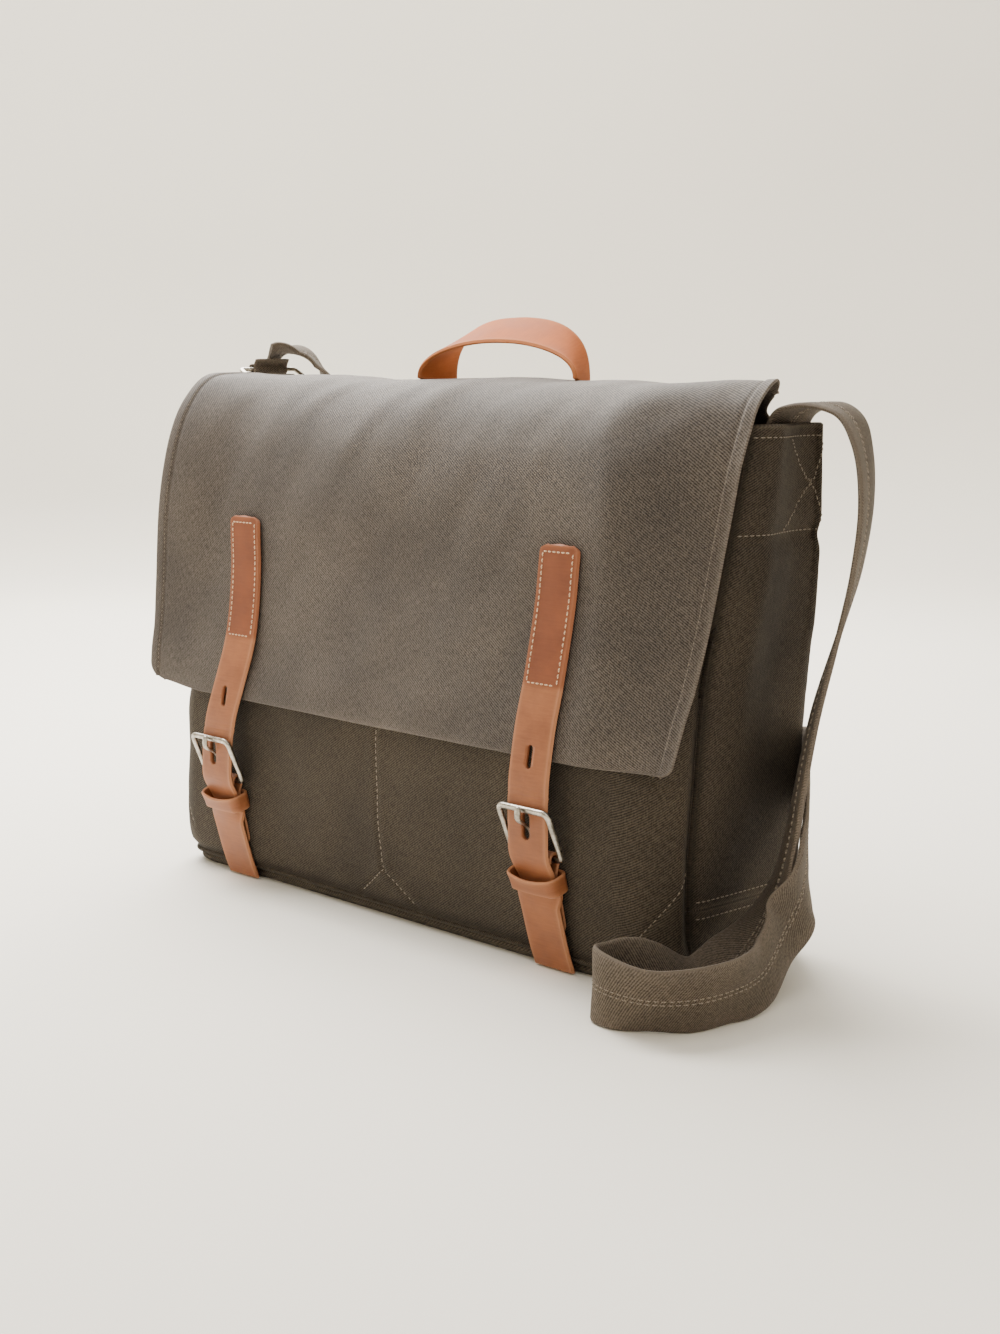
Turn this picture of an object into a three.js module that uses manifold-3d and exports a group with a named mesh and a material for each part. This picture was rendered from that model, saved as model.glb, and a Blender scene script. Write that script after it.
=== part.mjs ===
// A canvas satchel with a buckled flap, in millimetres.
// +X is the bag's right seen from the front, the front faces -Y, +Z is up.
// The origin is the middle of the base, on the surface that the bag stands on.
import * as THREE from 'three';
import Module from 'manifold-3d';
import { mergeVertices } from 'three/addons/utils/BufferGeometryUtils.js';

const wasm = await Module();
wasm.setup();

// ---- driving dimensions ----------------------------------------------------
const HALF_WIDTH = 199;
const CLOTH = 2.4;
const GAP = 0.5;
const BACK_Y = 60;
const BASE_TOP = 5.6;
const PIPING_Z = 7.6;
const WALL_Z = 9.6;
const GUSSET_SEAM_Z = 40;
const GUSSET_TOP_Z = 274;
const MOUTH_Z = 262;
const FLAP_HALF_WIDTH = 206;
const FLAP_CLOTH = 1.6;
const FACING_CLOTH = 1.2;
const HINGE = [57, 277];
const STRAP_X = 127;
const STRAP_WIDTH = 26;
const LEATHER = 2.4;
const TAB_LEATHER = 1.4;
const HEEL_BAR = [-70.2, 61.5];
const FRAME_WIRE = 3.4;
const FRAME_TILT = 23;
const FRAME_HEIGHT = 31;
const FRAME_WIDTH = 38;
const KEEPER_TILT = 16;
const HANDLE_WIDTH = 28;
const HANDLE_SPAN = 61;
const WEBBING = 38;
const WEBBING_THICKNESS = 3;
const ANCHOR_Y = 36.5;
const WEBBING_X = 192.6;
const HANDLE_Y = 30;
const BOARD = 2;
const LINING = 0.8;
const FACING_HALF = 118;
const EYE = 2.5;
const SIDES = [[-1, 'left'], [1, 'right']];

// Height against depth of the front face, the front seam, and the lean of the front corners.
const FRONT_FACE = [[0, -54], [10, -58.5], [28, -62], [55, -66], [95, -68.5], [112, -67.5], [130, -63],
  [148, -58.5], [168, -54.5], [190, -51], [215, -48], [240, -40], [262, -29]];
const FRONT_SEAM = [[0, -35], [57, -36], [104, -32], [144, -28], [173, -22], [205, -14], [230, -7],
  [262, 1], [274, 3]];

// ---- materials -------------------------------------------------------------
function material(color, roughness, metalness = 0) {
  return new THREE.MeshStandardMaterial({ color, roughness, metalness });
}

const canvas = material('#5d5448', 0.9);
const flapCanvas = material('#7b7065', 0.88);
const liningCloth = material('#8b8172', 0.9);
const board = material('#3b352e', 0.8);
const leather = material('#b97a52', 0.5);
const handleLeather = material('#cf9a78', 0.5);
const nickel = material('#a8a196', 0.28, 1);

// ---- small helpers ---------------------------------------------------------
function clamp01(t) {
  return Math.min(1, Math.max(0, t));
}

function ease(low, high, value) {
  const t = clamp01((value - low) / (high - low));
  return t * t * (3 - 2 * t);
}

function mix(a, b, t) {
  return a + (b - a) * t;
}

// A smooth curve through [key, value] pairs, read at a key.
function along(pairs, key) {
  const last = pairs.length - 1;
  let i = 0;
  while (i < last - 1 && key > pairs[i + 1][0]) i += 1;
  const p = [pairs[Math.max(i - 1, 0)], pairs[i], pairs[i + 1], pairs[Math.min(i + 2, last)]];
  const slope = (a, b) => (b[1] - a[1]) / (b[0] - a[0]);
  const h = p[2][0] - p[1][0];
  const t = (key - p[1][0]) / h;
  const m1 = slope(p[0], p[2]) * h;
  const m2 = slope(p[1], p[3]) * h;
  const t2 = t * t;
  const t3 = t2 * t;
  return (2 * t3 - 3 * t2 + 1) * p[1][1] + (t3 - 2 * t2 + t) * m1
    + (3 * t2 - 2 * t3) * p[2][1] + (t3 - t2) * m2;
}

// A three.js curve through [y, z] points, read at 0 to 1 of its length.
function profile(points) {
  const curve = new THREE.CatmullRomCurve3(points.map(([y, z]) => new THREE.Vector3(0, y, z)), false,
    'centripetal');
  return (t) => {
    const p = curve.getPointAt(clamp01(t));
    return [p.y, p.z];
  };
}

function geometryOf(points, faces) {
  const geometry = new THREE.BufferGeometry();
  geometry.setAttribute('position', new THREE.Float32BufferAttribute(points.flat(), 3));
  geometry.setIndex(faces.flat());
  return outward(geometry);
}

function signedVolume(geometry) {
  const p = geometry.getAttribute('position');
  const index = geometry.getIndex();
  const corner = (k) => new THREE.Vector3().fromBufferAttribute(p, index.getX(k));
  let sum = 0;
  for (let k = 0; k < index.count; k += 3) {
    sum += corner(k).dot(corner(k + 1).cross(corner(k + 2)));
  }
  return sum / 6;
}

function outward(geometry) {
  if (signedVolume(geometry) < 0) {
    const order = [...geometry.getIndex().array];
    for (let k = 0; k < order.length; k += 3) {
      [order[k], order[k + 1]] = [order[k + 1], order[k]];
    }
    geometry.setIndex(order);
  }
  return geometry;
}

// A sheet of one thickness. surface(u, v) gives its outer face, and towards is a point on its inner side.
function sheet(surface, nu, nv, thickness, inward) {
  const outer = [];
  const inner = [];
  const step = 1e-3;
  for (let j = 0; j <= nv; j += 1) {
    for (let i = 0; i <= nu; i += 1) {
      const u = i / nu;
      const v = j / nv;
      const p = new THREE.Vector3(...surface(u, v));
      const du = new THREE.Vector3(...surface(Math.min(u + step, 1), v))
        .sub(new THREE.Vector3(...surface(Math.max(u - step, 0), v)));
      const dv = new THREE.Vector3(...surface(u, Math.min(v + step, 1)))
        .sub(new THREE.Vector3(...surface(u, Math.max(v - step, 0))));
      const normal = du.cross(dv).normalize().multiplyScalar(inward * thickness);
      outer.push([p.x, p.y, p.z]);
      inner.push([p.x + normal.x, p.y + normal.y, p.z + normal.z]);
    }
  }
  const at = (i, j) => j * (nu + 1) + i;
  const count = outer.length;
  const faces = [];
  for (let j = 0; j < nv; j += 1) {
    for (let i = 0; i < nu; i += 1) {
      const [a, b, c, d] = [at(i, j), at(i + 1, j), at(i + 1, j + 1), at(i, j + 1)];
      faces.push([a, b, c], [a, c, d]);
      faces.push([count + a, count + c, count + b], [count + a, count + d, count + c]);
    }
  }
  const rim = [];
  for (let i = 0; i < nu; i += 1) rim.push([at(i, 0), at(i + 1, 0)]);
  for (let j = 0; j < nv; j += 1) rim.push([at(nu, j), at(nu, j + 1)]);
  for (let i = nu; i > 0; i -= 1) rim.push([at(i, nv), at(i - 1, nv)]);
  for (let j = nv; j > 0; j -= 1) rim.push([at(0, j), at(0, j - 1)]);
  for (const [a, b] of rim) faces.push([a, count + b, b], [a, count + a, count + b]);
  return geometryOf([...outer, ...inner], faces);
}

// A closed body through a row of like sections, with flat ends. Closed rows have no ends.
function loft(sections, closed = false) {
  const n = sections[0].length;
  const rows = sections.length;
  const faces = [];
  for (let r = 0; r < (closed ? rows : rows - 1); r += 1) {
    const next = (r + 1) % rows;
    for (let i = 0; i < n; i += 1) {
      const j = (i + 1) % n;
      const [a, b, c, d] = [r * n + i, r * n + j, next * n + j, next * n + i];
      faces.push([a, b, c], [a, c, d]);
    }
  }
  if (!closed) {
    for (let i = 1; i < n - 1; i += 1) {
      faces.push([0, i + 1, i]);
      const top = (rows - 1) * n;
      faces.push([top, top + i, top + i + 1]);
    }
  }
  return geometryOf(sections.flat(), faces);
}

// The frame of a flat strap at t from 0 to 1: its centre, its direction, and its width direction.
function strapFrame(places, widths) {
  const centre = new THREE.CatmullRomCurve3(places.map((p) => new THREE.Vector3(...p)), false, 'centripetal');
  const across = new THREE.CatmullRomCurve3(widths.map((p) => new THREE.Vector3(...p)), false, 'catmullrom');
  return (t) => {
    const point = centre.getPoint(t);
    const tangent = centre.getTangent(t);
    const side = across.getPoint(t);
    side.addScaledVector(tangent, -side.dot(tangent)).normalize();
    return { point, tangent, side, face: new THREE.Vector3().crossVectors(tangent, side) };
  };
}

function strapAlong(frame, steps, width, thickness) {
  const sections = [];
  for (let k = 0; k <= steps; k += 1) {
    const { point, side, face } = frame(k / steps);
    const corner = (a, b) => {
      const q = point.clone().addScaledVector(side, a * width / 2).addScaledVector(face, b * thickness / 2);
      return [q.x, q.y, q.z];
    };
    sections.push([corner(-1, -1), corner(1, -1), corner(1, 1), corner(-1, 1)]);
  }
  return loft(sections);
}

function toSolid(geometry) {
  const bare = geometry.clone();
  bare.deleteAttribute('normal');
  bare.deleteAttribute('uv');
  const merged = mergeVertices(bare, 1e-4);
  return new wasm.Manifold(new wasm.Mesh({
    numProp: 3,
    vertProperties: new Float32Array(merged.getAttribute('position').array),
    triVerts: new Uint32Array(merged.getIndex().array),
  }));
}

function fromSolid(solid) {
  const mesh = solid.getMesh();
  const geometry = new THREE.BufferGeometry();
  geometry.setAttribute('position', new THREE.Float32BufferAttribute(mesh.vertProperties, 3));
  geometry.setIndex([...mesh.triVerts]);
  return geometry;
}

function cut(geometry, ...tools) {
  return fromSolid(tools.reduce((solid, tool) => solid.subtract(toSolid(tool)), toSolid(geometry)));
}

function roundedRectangle(width, height, radius, shape = new THREE.Shape()) {
  const x = width / 2;
  const y = height / 2;
  shape.moveTo(-x + radius, -y);
  shape.lineTo(x - radius, -y);
  shape.absarc(x - radius, -y + radius, radius, -Math.PI / 2, 0);
  shape.lineTo(x, y - radius);
  shape.absarc(x - radius, y - radius, radius, 0, Math.PI / 2);
  shape.lineTo(-x + radius, y);
  shape.absarc(-x + radius, y - radius, radius, Math.PI / 2, Math.PI);
  shape.lineTo(-x, -y + radius);
  shape.absarc(-x + radius, -y + radius, radius, Math.PI, Math.PI * 1.5);
  return shape;
}

// A rounded rectangular ring in the XY plane, centred on z = 0.
function ringPlate(width, height, wall, radius, depth) {
  const shape = roundedRectangle(width, height, radius);
  shape.holes.push(roundedRectangle(width - 2 * wall, height - 2 * wall, Math.max(radius - wall, 0.6),
    new THREE.Path()));
  const geometry = new THREE.ExtrudeGeometry(shape, { depth, bevelEnabled: false, curveSegments: 4 });
  return geometry.translate(0, 0, -depth / 2);
}

const bag = new THREE.Group();

function add(name, geometry, look, parent = bag) {
  const mesh = new THREE.Mesh(geometry, look);
  mesh.name = name;
  parent.add(mesh);
  return mesh;
}

// ---- shell -----------------------------------------------------------------
function frontY(x, z) {
  return along(FRONT_FACE, z) + 1.5 * (Math.abs(x) / STRAP_X) ** 2;
}

// How far the rounded front corner reaches in from the side: tight at the base, slack at the top.
function frontCorner(z) {
  return mix(26, 72, ease(90, 210, z));
}

function rearCorner(z) {
  return mix(20, 3, ease(100, 220, z));
}

// The front panel's outer face: across from 0 to 1 runs from the left seam to the right seam.
function frontSurface(u, v) {
  const z = mix(WALL_Z, MOUTH_Z, v);
  const side = 2 * u - 1;
  const flatShare = 0.72;
  const flat = HALF_WIDTH - frontCorner(z);
  const share = Math.abs(side) / flatShare;
  if (share <= 1) {
    const x = Math.sign(side) * share * flat;
    return [x, frontY(x, z), z];
  }
  const turn = (Math.abs(side) - flatShare) / (1 - flatShare) * Math.PI / 2;
  const round = Math.cos(turn) ** mix(1, 2, ease(100, 190, z));
  const seam = along(FRONT_SEAM, z) - mix(GAP, GAP + 1.6, ease(120, 190, z));
  return [Math.sign(side) * (flat + frontCorner(z) * Math.sin(turn)), mix(seam, frontY(flat, z), round), z];
}

// A gusset's outer face: across from 0 to 1 runs from the front seam to the rear seam.
function gussetSurface(side, low, high) {
  return (u, v) => {
    const z = mix(low, high, v);
    const front = along(FRONT_SEAM, z) + GAP;
    const radius = rearCorner(z);
    const flatEnd = BACK_Y - radius;
    if (u < 0.7) {
      const y = mix(front, flatEnd, u / 0.7);
      return [side * (HALF_WIDTH + 2.5 * Math.sin(Math.PI * u / 0.7) * ease(0, 120, z)), y, z];
    }
    const turn = (u - 0.7) / 0.3 * Math.PI / 2;
    return [side * (HALF_WIDTH - radius * (1 - Math.cos(turn))), flatEnd + radius * Math.sin(turn), z];
  };
}

function backSurface(u, v) {
  const z = mix(WALL_Z, HINGE[1] - 6, v);
  const half = HALF_WIDTH - rearCorner(z) - GAP;
  return [mix(-half, half, u), BACK_Y, z];
}

function baseOutline(grow, sections = 5) {
  const corners = [[-1, -1], [1, -1], [1, 1], [-1, 1]];
  const front = along(FRONT_FACE, 4) + 2 - grow;
  const back = BACK_Y - 3 + grow;
  const half = HALF_WIDTH - 3 + grow;
  const points = [];
  corners.forEach(([sx, sy], k) => {
    const radius = sy < 0 ? 22 : 18;
    const cx = sx * (half - radius);
    const cy = sy < 0 ? front + radius : back - radius;
    for (let i = 0; i <= sections; i += 1) {
      const angle = Math.PI * (1 + k / 2) + i / sections * Math.PI / 2;
      points.push([cx + radius * Math.cos(angle), cy + radius * Math.sin(angle)]);
    }
  });
  return points;
}

function atHeight(outline, z) {
  return outline.map(([x, y]) => [x, y, z]);
}

function makeBase() {
  const rings = [[-4, 0], [-1.2, 1.2], [0, 3.6], [-0.8, BASE_TOP]];
  add('base_panel', loft(rings.map(([grow, z]) => atHeight(baseOutline(grow), z))), canvas);
  const boardZ = [WALL_Z, WALL_Z + BOARD];
  add('base_board', loft(boardZ.map((z) => atHeight(baseOutline(-9), z))), board);
}

function makePiping() {
  const radius = 1.5;
  const sides = 6;
  const outline = baseOutline(1.6);
  const sections = outline.map(([x, y], i) => {
    const before = outline[(i + outline.length - 1) % outline.length];
    const after = outline[(i + 1) % outline.length];
    const tangent = new THREE.Vector2(after[0] - before[0], after[1] - before[1]).normalize();
    return Array.from({ length: sides }, (_, k) => {
      const angle = k / sides * Math.PI * 2;
      const reach = radius * Math.cos(angle);
      return [x + tangent.y * reach, y - tangent.x * reach, PIPING_Z + radius * Math.sin(angle)];
    });
  });
  add('base_piping', loft(sections, true), canvas);
}

function makeShell() {
  add('front_panel', sheet(frontSurface, 30, 12, CLOTH, -1), canvas);
  add('back_panel', sheet(backSurface, 10, 12, CLOTH, 1), canvas);
  for (const [side, word] of SIDES) {
    const low = GUSSET_SEAM_Z + GAP;
    add(`gusset_${word}`, sheet(gussetSurface(side, low, GUSSET_TOP_Z), 12, 9, CLOTH, -side), canvas);
    add(`gusset_foot_${word}`,
      sheet(gussetSurface(side, WALL_Z, GUSSET_SEAM_Z - GAP), 12, 3, CLOTH, -side), canvas);
  }
}

// ---- inside ----------------------------------------------------------------
// The lining is an open-topped sack: an outer skin, a rim and an inner skin in one body.
function sackOutline(z, inset) {
  const half = mix(HALF_WIDTH - CLOTH - 2.4, HALF_WIDTH - CLOTH - 9, ease(190, 222, z)) - inset;
  const front = along(FRONT_FACE, z) + CLOTH + 5.8 + inset;
  const back = BACK_Y - CLOTH - 1 - inset;
  const frontRadius = frontCorner(z) - 6 - inset;
  const backRadius = 16 - inset;
  const corner = (cx, cy, radius, start) => Array.from({ length: 5 }, (_, i) => {
    const angle = start + i / 4 * Math.PI / 2;
    return [cx + radius * Math.cos(angle), cy + radius * Math.sin(angle), z];
  });
  return [
    ...corner(-half + frontRadius, front + frontRadius, frontRadius, Math.PI),
    ...corner(half - frontRadius, front + frontRadius, frontRadius, Math.PI * 1.5),
    ...corner(half - backRadius, back - backRadius, backRadius, 0),
    ...corner(-half + backRadius, back - backRadius, backRadius, Math.PI / 2),
  ];
}

function makeInside() {
  const floor = WALL_Z + BOARD + GAP;
  const heights = [floor, 30, 60, 100, 140, 180, 220, MOUTH_Z - 3];
  const outside = heights.map((z) => sackOutline(z, 0));
  const inside = heights.map((z, k) => sackOutline(k ? z : z + LINING, LINING)).reverse();
  add('lining', loft([...outside, ...inside]), liningCloth);
  const facingDepth = CLOTH + 1.2;
  add('mouth_facing', sheet((u, v) => {
    const z = mix(MOUTH_Z - 24, MOUTH_Z - 1, v);
    const x = mix(-FACING_HALF, FACING_HALF, u);
    return [x, frontY(x, z) + facingDepth, z];
  }, 8, 3, 1, -1), canvas);
  const wall = BACK_Y - CLOTH - 1 - LINING - GAP;
  const pocketHalf = 110;
  const pocketZ = [70, 205];
  const pocketDepth = 7;
  const pocket = [[wall, pocketZ[0]], [wall - pocketDepth, pocketZ[0] + 8], [wall - pocketDepth, pocketZ[1]]];
  const run = pocket.map(([y, z]) => new THREE.Vector2(y, z));
  add('inner_pocket', sheet((u, v) => {
    const k = v < 0.2 ? 0 : 1;
    const t = v < 0.2 ? v / 0.2 : (v - 0.2) / 0.8;
    const p = run[k].clone().lerp(run[k + 1], t);
    const pull = pocketDepth * (1 - clamp01((1 - Math.abs(2 * u - 1)) / 0.12));
    return [mix(-pocketHalf, pocketHalf, u), Math.min(p.x + pull, wall), p.y];
  }, 16, 5, LINING, 1), liningCloth);
  for (const [side, word] of SIDES) {
    const x = side * (WEBBING_X - WEBBING_THICKNESS / 2 - GAP);
    add(`anchor_patch_${word}`, sheet((u, v) => [x, mix(ANCHOR_Y - 16, ANCHOR_Y + 12, u), mix(258, 226, v)],
      2, 2, 1, side), canvas);
  }
}

// ---- flap ------------------------------------------------------------------
// Each row runs from the rear seam over the top to the hem, at the middle, the left end and the right end.
const FLAP_MIDDLE = [[57.2, 272.5], [55, 280], [46, 288.5], [30, 293.5], [14, 295], [-9, 292], [-27, 281],
  [-40, 263], [-48, 240], [-52.8, 215], [-55.8, 190], [-60, 168], [-65, 146], [-69.8, 128], [-72.6, 111.5]];
const FLAP_LEFT = [[36, 275], [32, 279], [26, 285], [21, 291], [14, 296.5], [-12, 297], [-29, 293.5],
  [-42, 280], [-52, 260], [-59, 235], [-63, 210], [-66.5, 175], [-69, 148], [-71, 130], [-72, 115]];
const FLAP_RIGHT = [[36, 275], [32, 279], [26, 284], [20, 289.5], [13, 295], [1, 284.5], [-6, 271],
  [-12, 256], [-17, 240], [-23.5, 217], [-30, 194], [-37, 172], [-45, 150], [-53, 131], [-61, 111.5]];
const BEND_STATION = 5;

function stations(points) {
  return new THREE.CatmullRomCurve3(points.map(([y, z]) => new THREE.Vector3(0, y, z)), false, 'catmullrom');
}

const flapMiddle = stations(FLAP_MIDDLE);
const flapLeft = stations(FLAP_LEFT);
const flapRight = stations(FLAP_RIGHT);

// A point of the flap's outer face, side from -1 to 1 across it and t from the rear seam to the hem.
function flapPoint(side, t) {
  const narrow = mix(0.9, 1, ease(1 / 14, 4.2 / 14, t));
  const x = side * FLAP_HALF_WIDTH * narrow;
  const reach = Math.abs(x) / narrow;
  const middle = flapMiddle.getPoint(t);
  const end = (x < 0 ? flapLeft : flapRight).getPoint(t);
  const start = mix(165, 152, ease(3 / 14, 5 / 14, t));
  const w = ease(start, FLAP_HALF_WIDTH, reach);
  return new THREE.Vector3(x, mix(middle.y, end.y, w), mix(middle.z, end.z, w));
}

function flapNormal(side, t) {
  const d = 1e-3;
  const across = flapPoint(side + d, t).sub(flapPoint(side - d, t));
  const down = flapPoint(side, Math.min(t + d, 1)).sub(flapPoint(side, Math.max(t - d, 0)));
  return down.cross(across).normalize();
}

// A layer parallel to the flap's outer face, out millimetres outside it.
function flapLayer(out, from, to, edge = 1) {
  return (u, v) => {
    const side = mix(-edge, edge, u);
    const t = mix(from, to, v);
    const p = flapPoint(side, t).addScaledVector(flapNormal(side, t), out);
    return [p.x, p.y, p.z];
  };
}

function makeFlap() {
  const bend = BEND_STATION / 14;
  const slit = 0.0022;
  const inner = -(FLAP_CLOTH + 0.9);
  add('flap_top', sheet(flapLayer(0, 0, bend - slit), 20, 8, FLAP_CLOTH, 1), flapCanvas);
  add('flap_front', sheet(flapLayer(0, bend + slit, 1), 20, 14, FLAP_CLOTH, 1), flapCanvas);
  add('flap_facing', sheet(flapLayer(inner, bend + 2 * slit, 0.996, 0.99), 20, 12, FACING_CLOTH, 1),
    liningCloth);
}

// ---- handle ----------------------------------------------------------------
function handlePoint(u, v) {
  const y = HANDLE_Y + (v - 0.5) * HANDLE_WIDTH;
  const centre = mix(5, -3, v);
  const half = mix(HANDLE_SPAN + 3, HANDLE_SPAN - 6, v);
  const angle = Math.PI * (1 - u);
  const foot = mix(296.3, 291.3, v);
  const rise = mix(21, 38.5, v);
  const c = Math.cos(angle);
  return [centre + half * Math.sign(c) * Math.abs(c) ** 0.85, y, foot + rise * Math.sin(angle) ** 0.75];
}

function makeHandle() {
  add('handle', sheet(handlePoint, 28, 4, LEATHER, -1), handleLeather);
  const under = -(FLAP_CLOTH + 0.4);
  const from = 2.15 / 14;
  const to = 3.9 / 14;
  add('handle_backing', sheet(flapLayer(under, from, to, 0.36), 8, 4, 1, 1), canvas);
}

// ---- closures --------------------------------------------------------------
// The flap strap's outer face below the flap, down through the buckle to its end.
const STRAP_TAIL = [[-76, 113], [-77.8, 101], [-78.5, 89], [-78.3, 76], [-77.5, 62], [-72.4, 51.5],
  [-70.9, 45.6]];
const LOWER_STRAP = [[-71.9, 43.8], [-67.2, 27], [-62.4, 11], [-58.6, 1]];

function strapLine(side) {
  const sewn = [9, 9.5, 10, 10.5, 11, 11.5, 12, 12.5, 13].map((k) => {
    const t = k / 14;
    const p = flapPoint(side, t).addScaledVector(flapNormal(side, t), LEATHER + 0.9);
    return new THREE.Vector3(0, p.y, p.z);
  });
  const free = STRAP_TAIL.map(([y, z]) => new THREE.Vector3(0, y, z));
  return new THREE.CatmullRomCurve3([...sewn, ...free], false, 'centripetal');
}

function makeFlapStrap(side, word) {
  const x = side * STRAP_X;
  const edges = [-0.5, 0.5].map((k) => strapLine((x + k * STRAP_WIDTH) / FLAP_HALF_WIDTH));
  const surface = (u, v) => {
    const [a, b] = edges.map((edge) => edge.getPoint(v));
    return [x + (u - 0.5) * STRAP_WIDTH, mix(a.y, b.y, u), mix(a.z, b.z, u)];
  };
  const strap = sheet(surface, 2, 30, LEATHER, 1);
  const hole = (y, z, width, height) => new THREE.BoxGeometry(width, 14, height).translate(x, y, z);
  add(`flap_strap_${word}`, cut(strap, hole(-76, 113, 3, 10), hole(-77, 79, 4.6, 13)), leather);
}

function makeBuckle(side, word) {
  const x = side * STRAP_X;
  const [y, z] = HEEL_BAR;
  const tilt = FRAME_TILT * Math.PI / 180;
  const barToBar = FRAME_HEIGHT - FRAME_WIRE;
  const frame = ringPlate(FRAME_WIDTH, FRAME_HEIGHT, FRAME_WIRE, 5, FRAME_WIRE - 0.4);
  frame.translate(0, barToBar / 2, 0);
  frame.rotateX(Math.PI / 2 + tilt);
  frame.translate(x, y, z);
  add(`buckle_frame_${word}`, frame, nickel);
  makeProng(x, word, tilt, barToBar);
  makeTab(x, word);
  makeKeeper(x, word);
}

function makeProng(x, word, tilt, barToBar) {
  const [y, z] = HEEL_BAR;
  const eye = new THREE.Shape().absarc(0, 0, EYE + 1.2, 0, Math.PI * 2);
  eye.holes.push(new THREE.Path().absarc(0, 0, EYE, 0, Math.PI * 2, true));
  const ring = new THREE.ExtrudeGeometry(eye, { depth: 4, bevelEnabled: false, curveSegments: 12 });
  ring.rotateY(Math.PI / 2);
  ring.translate(x - 2, y, z);
  const topY = y - Math.sin(tilt) * barToBar;
  const topZ = z + Math.cos(tilt) * barToBar;
  const route = [[y - 0.4, z + EYE + 0.5], [y - 2.9, z + 9], [y - 6.4, z + 16], [topY - 3.4, topZ - 5],
    [topY - 3.6, topZ + 1.2]];
  const curve = new THREE.CatmullRomCurve3(route.map(([a, b]) => new THREE.Vector3(x, a, b)));
  const section = new THREE.Shape().absarc(0, 0, 1.3, 0, Math.PI * 2);
  const shank = new THREE.ExtrudeGeometry(section, { steps: 12, extrudePath: curve, curveSegments: 8 });
  add(`buckle_prong_${word}`, fromSolid(toSolid(ring).add(toSolid(shank))), nickel);
}

// The tab lies behind the strap, and folds round the heel bar.
function makeTab(x, word) {
  const [y, z] = HEEL_BAR;
  const reach = EYE + TAB_LEATHER;
  const line = [[-61, 22], [-63.4, 34], [-66.2, 45], [-68.2, 53.5]];
  for (let angle = -20; angle <= 200; angle += 20) {
    const a = angle * Math.PI / 180;
    line.push([y + reach * Math.cos(a), z + reach * Math.sin(a)]);
  }
  const curve = profile(line);
  const width = STRAP_WIDTH - 2;
  const tab = sheet((u, v) => {
    const [a, b] = curve(v);
    return [x + (u - 0.5) * width, a, b];
  }, 1, 34, TAB_LEATHER, 1);
  const slot = new THREE.BoxGeometry(5.2, 16, 16).translate(x, y - 3, z + 4);
  add(`buckle_tab_${word}`, cut(tab, slot), leather);
}

function makeKeeper(x, word) {
  const keeper = ringPlate(STRAP_WIDTH + 6.4, 9.4, 1.6, 3, 8);
  keeper.rotateX(KEEPER_TILT * Math.PI / 180);
  keeper.translate(x, -69.8, 49.4);
  add(`keeper_${word}`, keeper, leather);
  const curve = profile(LOWER_STRAP);
  add(`lower_strap_${word}`, sheet((u, v) => {
    const [a, b] = curve(v);
    return [x + (u - 0.5) * STRAP_WIDTH, a, b];
  }, 2, 8, LEATHER, 1), leather);
}

// ---- shoulder strap --------------------------------------------------------
const STRAP_ROUTE = [
  [193.4, ANCHOR_Y, 232], [193, 37.5, 271], [198, 40.5, 280.5], [211, 44.5, 284],
  [224.5, 46, 278], [234.5, 44, 262], [240.5, 39.5, 236], [239, 35, 204], [233.5, 29, 172],
  [230.5, 17, 136], [230, 8, 104], [229, 2, 76], [226.5, -5, 50], [222, -22, 24], [220.5, -48, 13.6],
  [208.5, -75, 18.5], [197.5, -92, 19.6], [197.5, -102.5, 19.8], [210, -107, 19.6], [229, -101.5, 19],
  [244, -86, 19.1], [248, -62, 19.8], [245.5, -38, 22.5], [241.5, -20, 35], [241.5, -7.5, 51],
  [235, 5, 71], [222, 22, 90], [204.5, 46, 99.5], [190.5, 62, 99.5], [168, 68, 90], [125, 70, 55],
  [70, 77, 27], [0, 84, 21], [-85, 88, 23.5], [-150, 88, 62], [-180, 86, 140], [-209, 86, 262],
  [-221.5, 70, 306], [-226, 54, 311.4], [-231.8, 40.5, 308.2],
];
const UPRIGHT = [0, 0, 1];
const STRAP_TWIST = [[0, [0, 1, 0]], [2, [-0.1, 1, 0]], [5, [-0.42, 0.9, 0]], [7, [-0.5, 0.86, 0]],
  [9, [-0.64, 0.77, 0]], [11, [-0.68, 0.72, 0.05]], [12, [-0.7, 0.7, 0.2]], [13, [-0.72, 0.4, 0.5]],
  [14, [-0.85, 0.1, 0.45]], [15, [-0.5, -0.1, 0.8]], [16, [0.08, 0.05, 1]], [18, [0.1, -0.15, 0.98]],
  [19, [0.3, -0.33, 0.9]], [21, [0.3, -0.15, 0.94]], [22, UPRIGHT], [32, UPRIGHT], [34, [0.5, 0, 0.8]],
  [35, [0.95, 0, 0.25]], [36, [1, -0.1, 0.2]], [37, [0.6, -0.65, 0]], [39, [0.05, -1, 0]]];

// The ring joins the strap's left end to the tab. It leans outward from the bar that the tab holds.
const RING_BAR = [-218.5, 294];
const RING_LEAN = 26;
const RING_SIZE = [17.4, 47];
const RING_WIRE = 3.2;
const BAR_EYE = 2.5;
const TAB_CLOTH = 1.6;

function twistAt(index) {
  let k = 0;
  while (k < STRAP_TWIST.length - 2 && index > STRAP_TWIST[k + 1][0]) k += 1;
  const [i0, a] = STRAP_TWIST[k];
  const [i1, b] = STRAP_TWIST[k + 1];
  const t = ease(i0, i1, index);
  return a.map((value, axis) => mix(value, b[axis], t));
}

function makeShoulderStrap() {
  const last = STRAP_ROUTE.length - 1;
  const frame = strapFrame(STRAP_ROUTE, STRAP_ROUTE.map((_, index) => twistAt(index)));
  add('shoulder_strap', strapAlong(frame, last * 2, WEBBING, WEBBING_THICKNESS), canvas);
}

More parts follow.
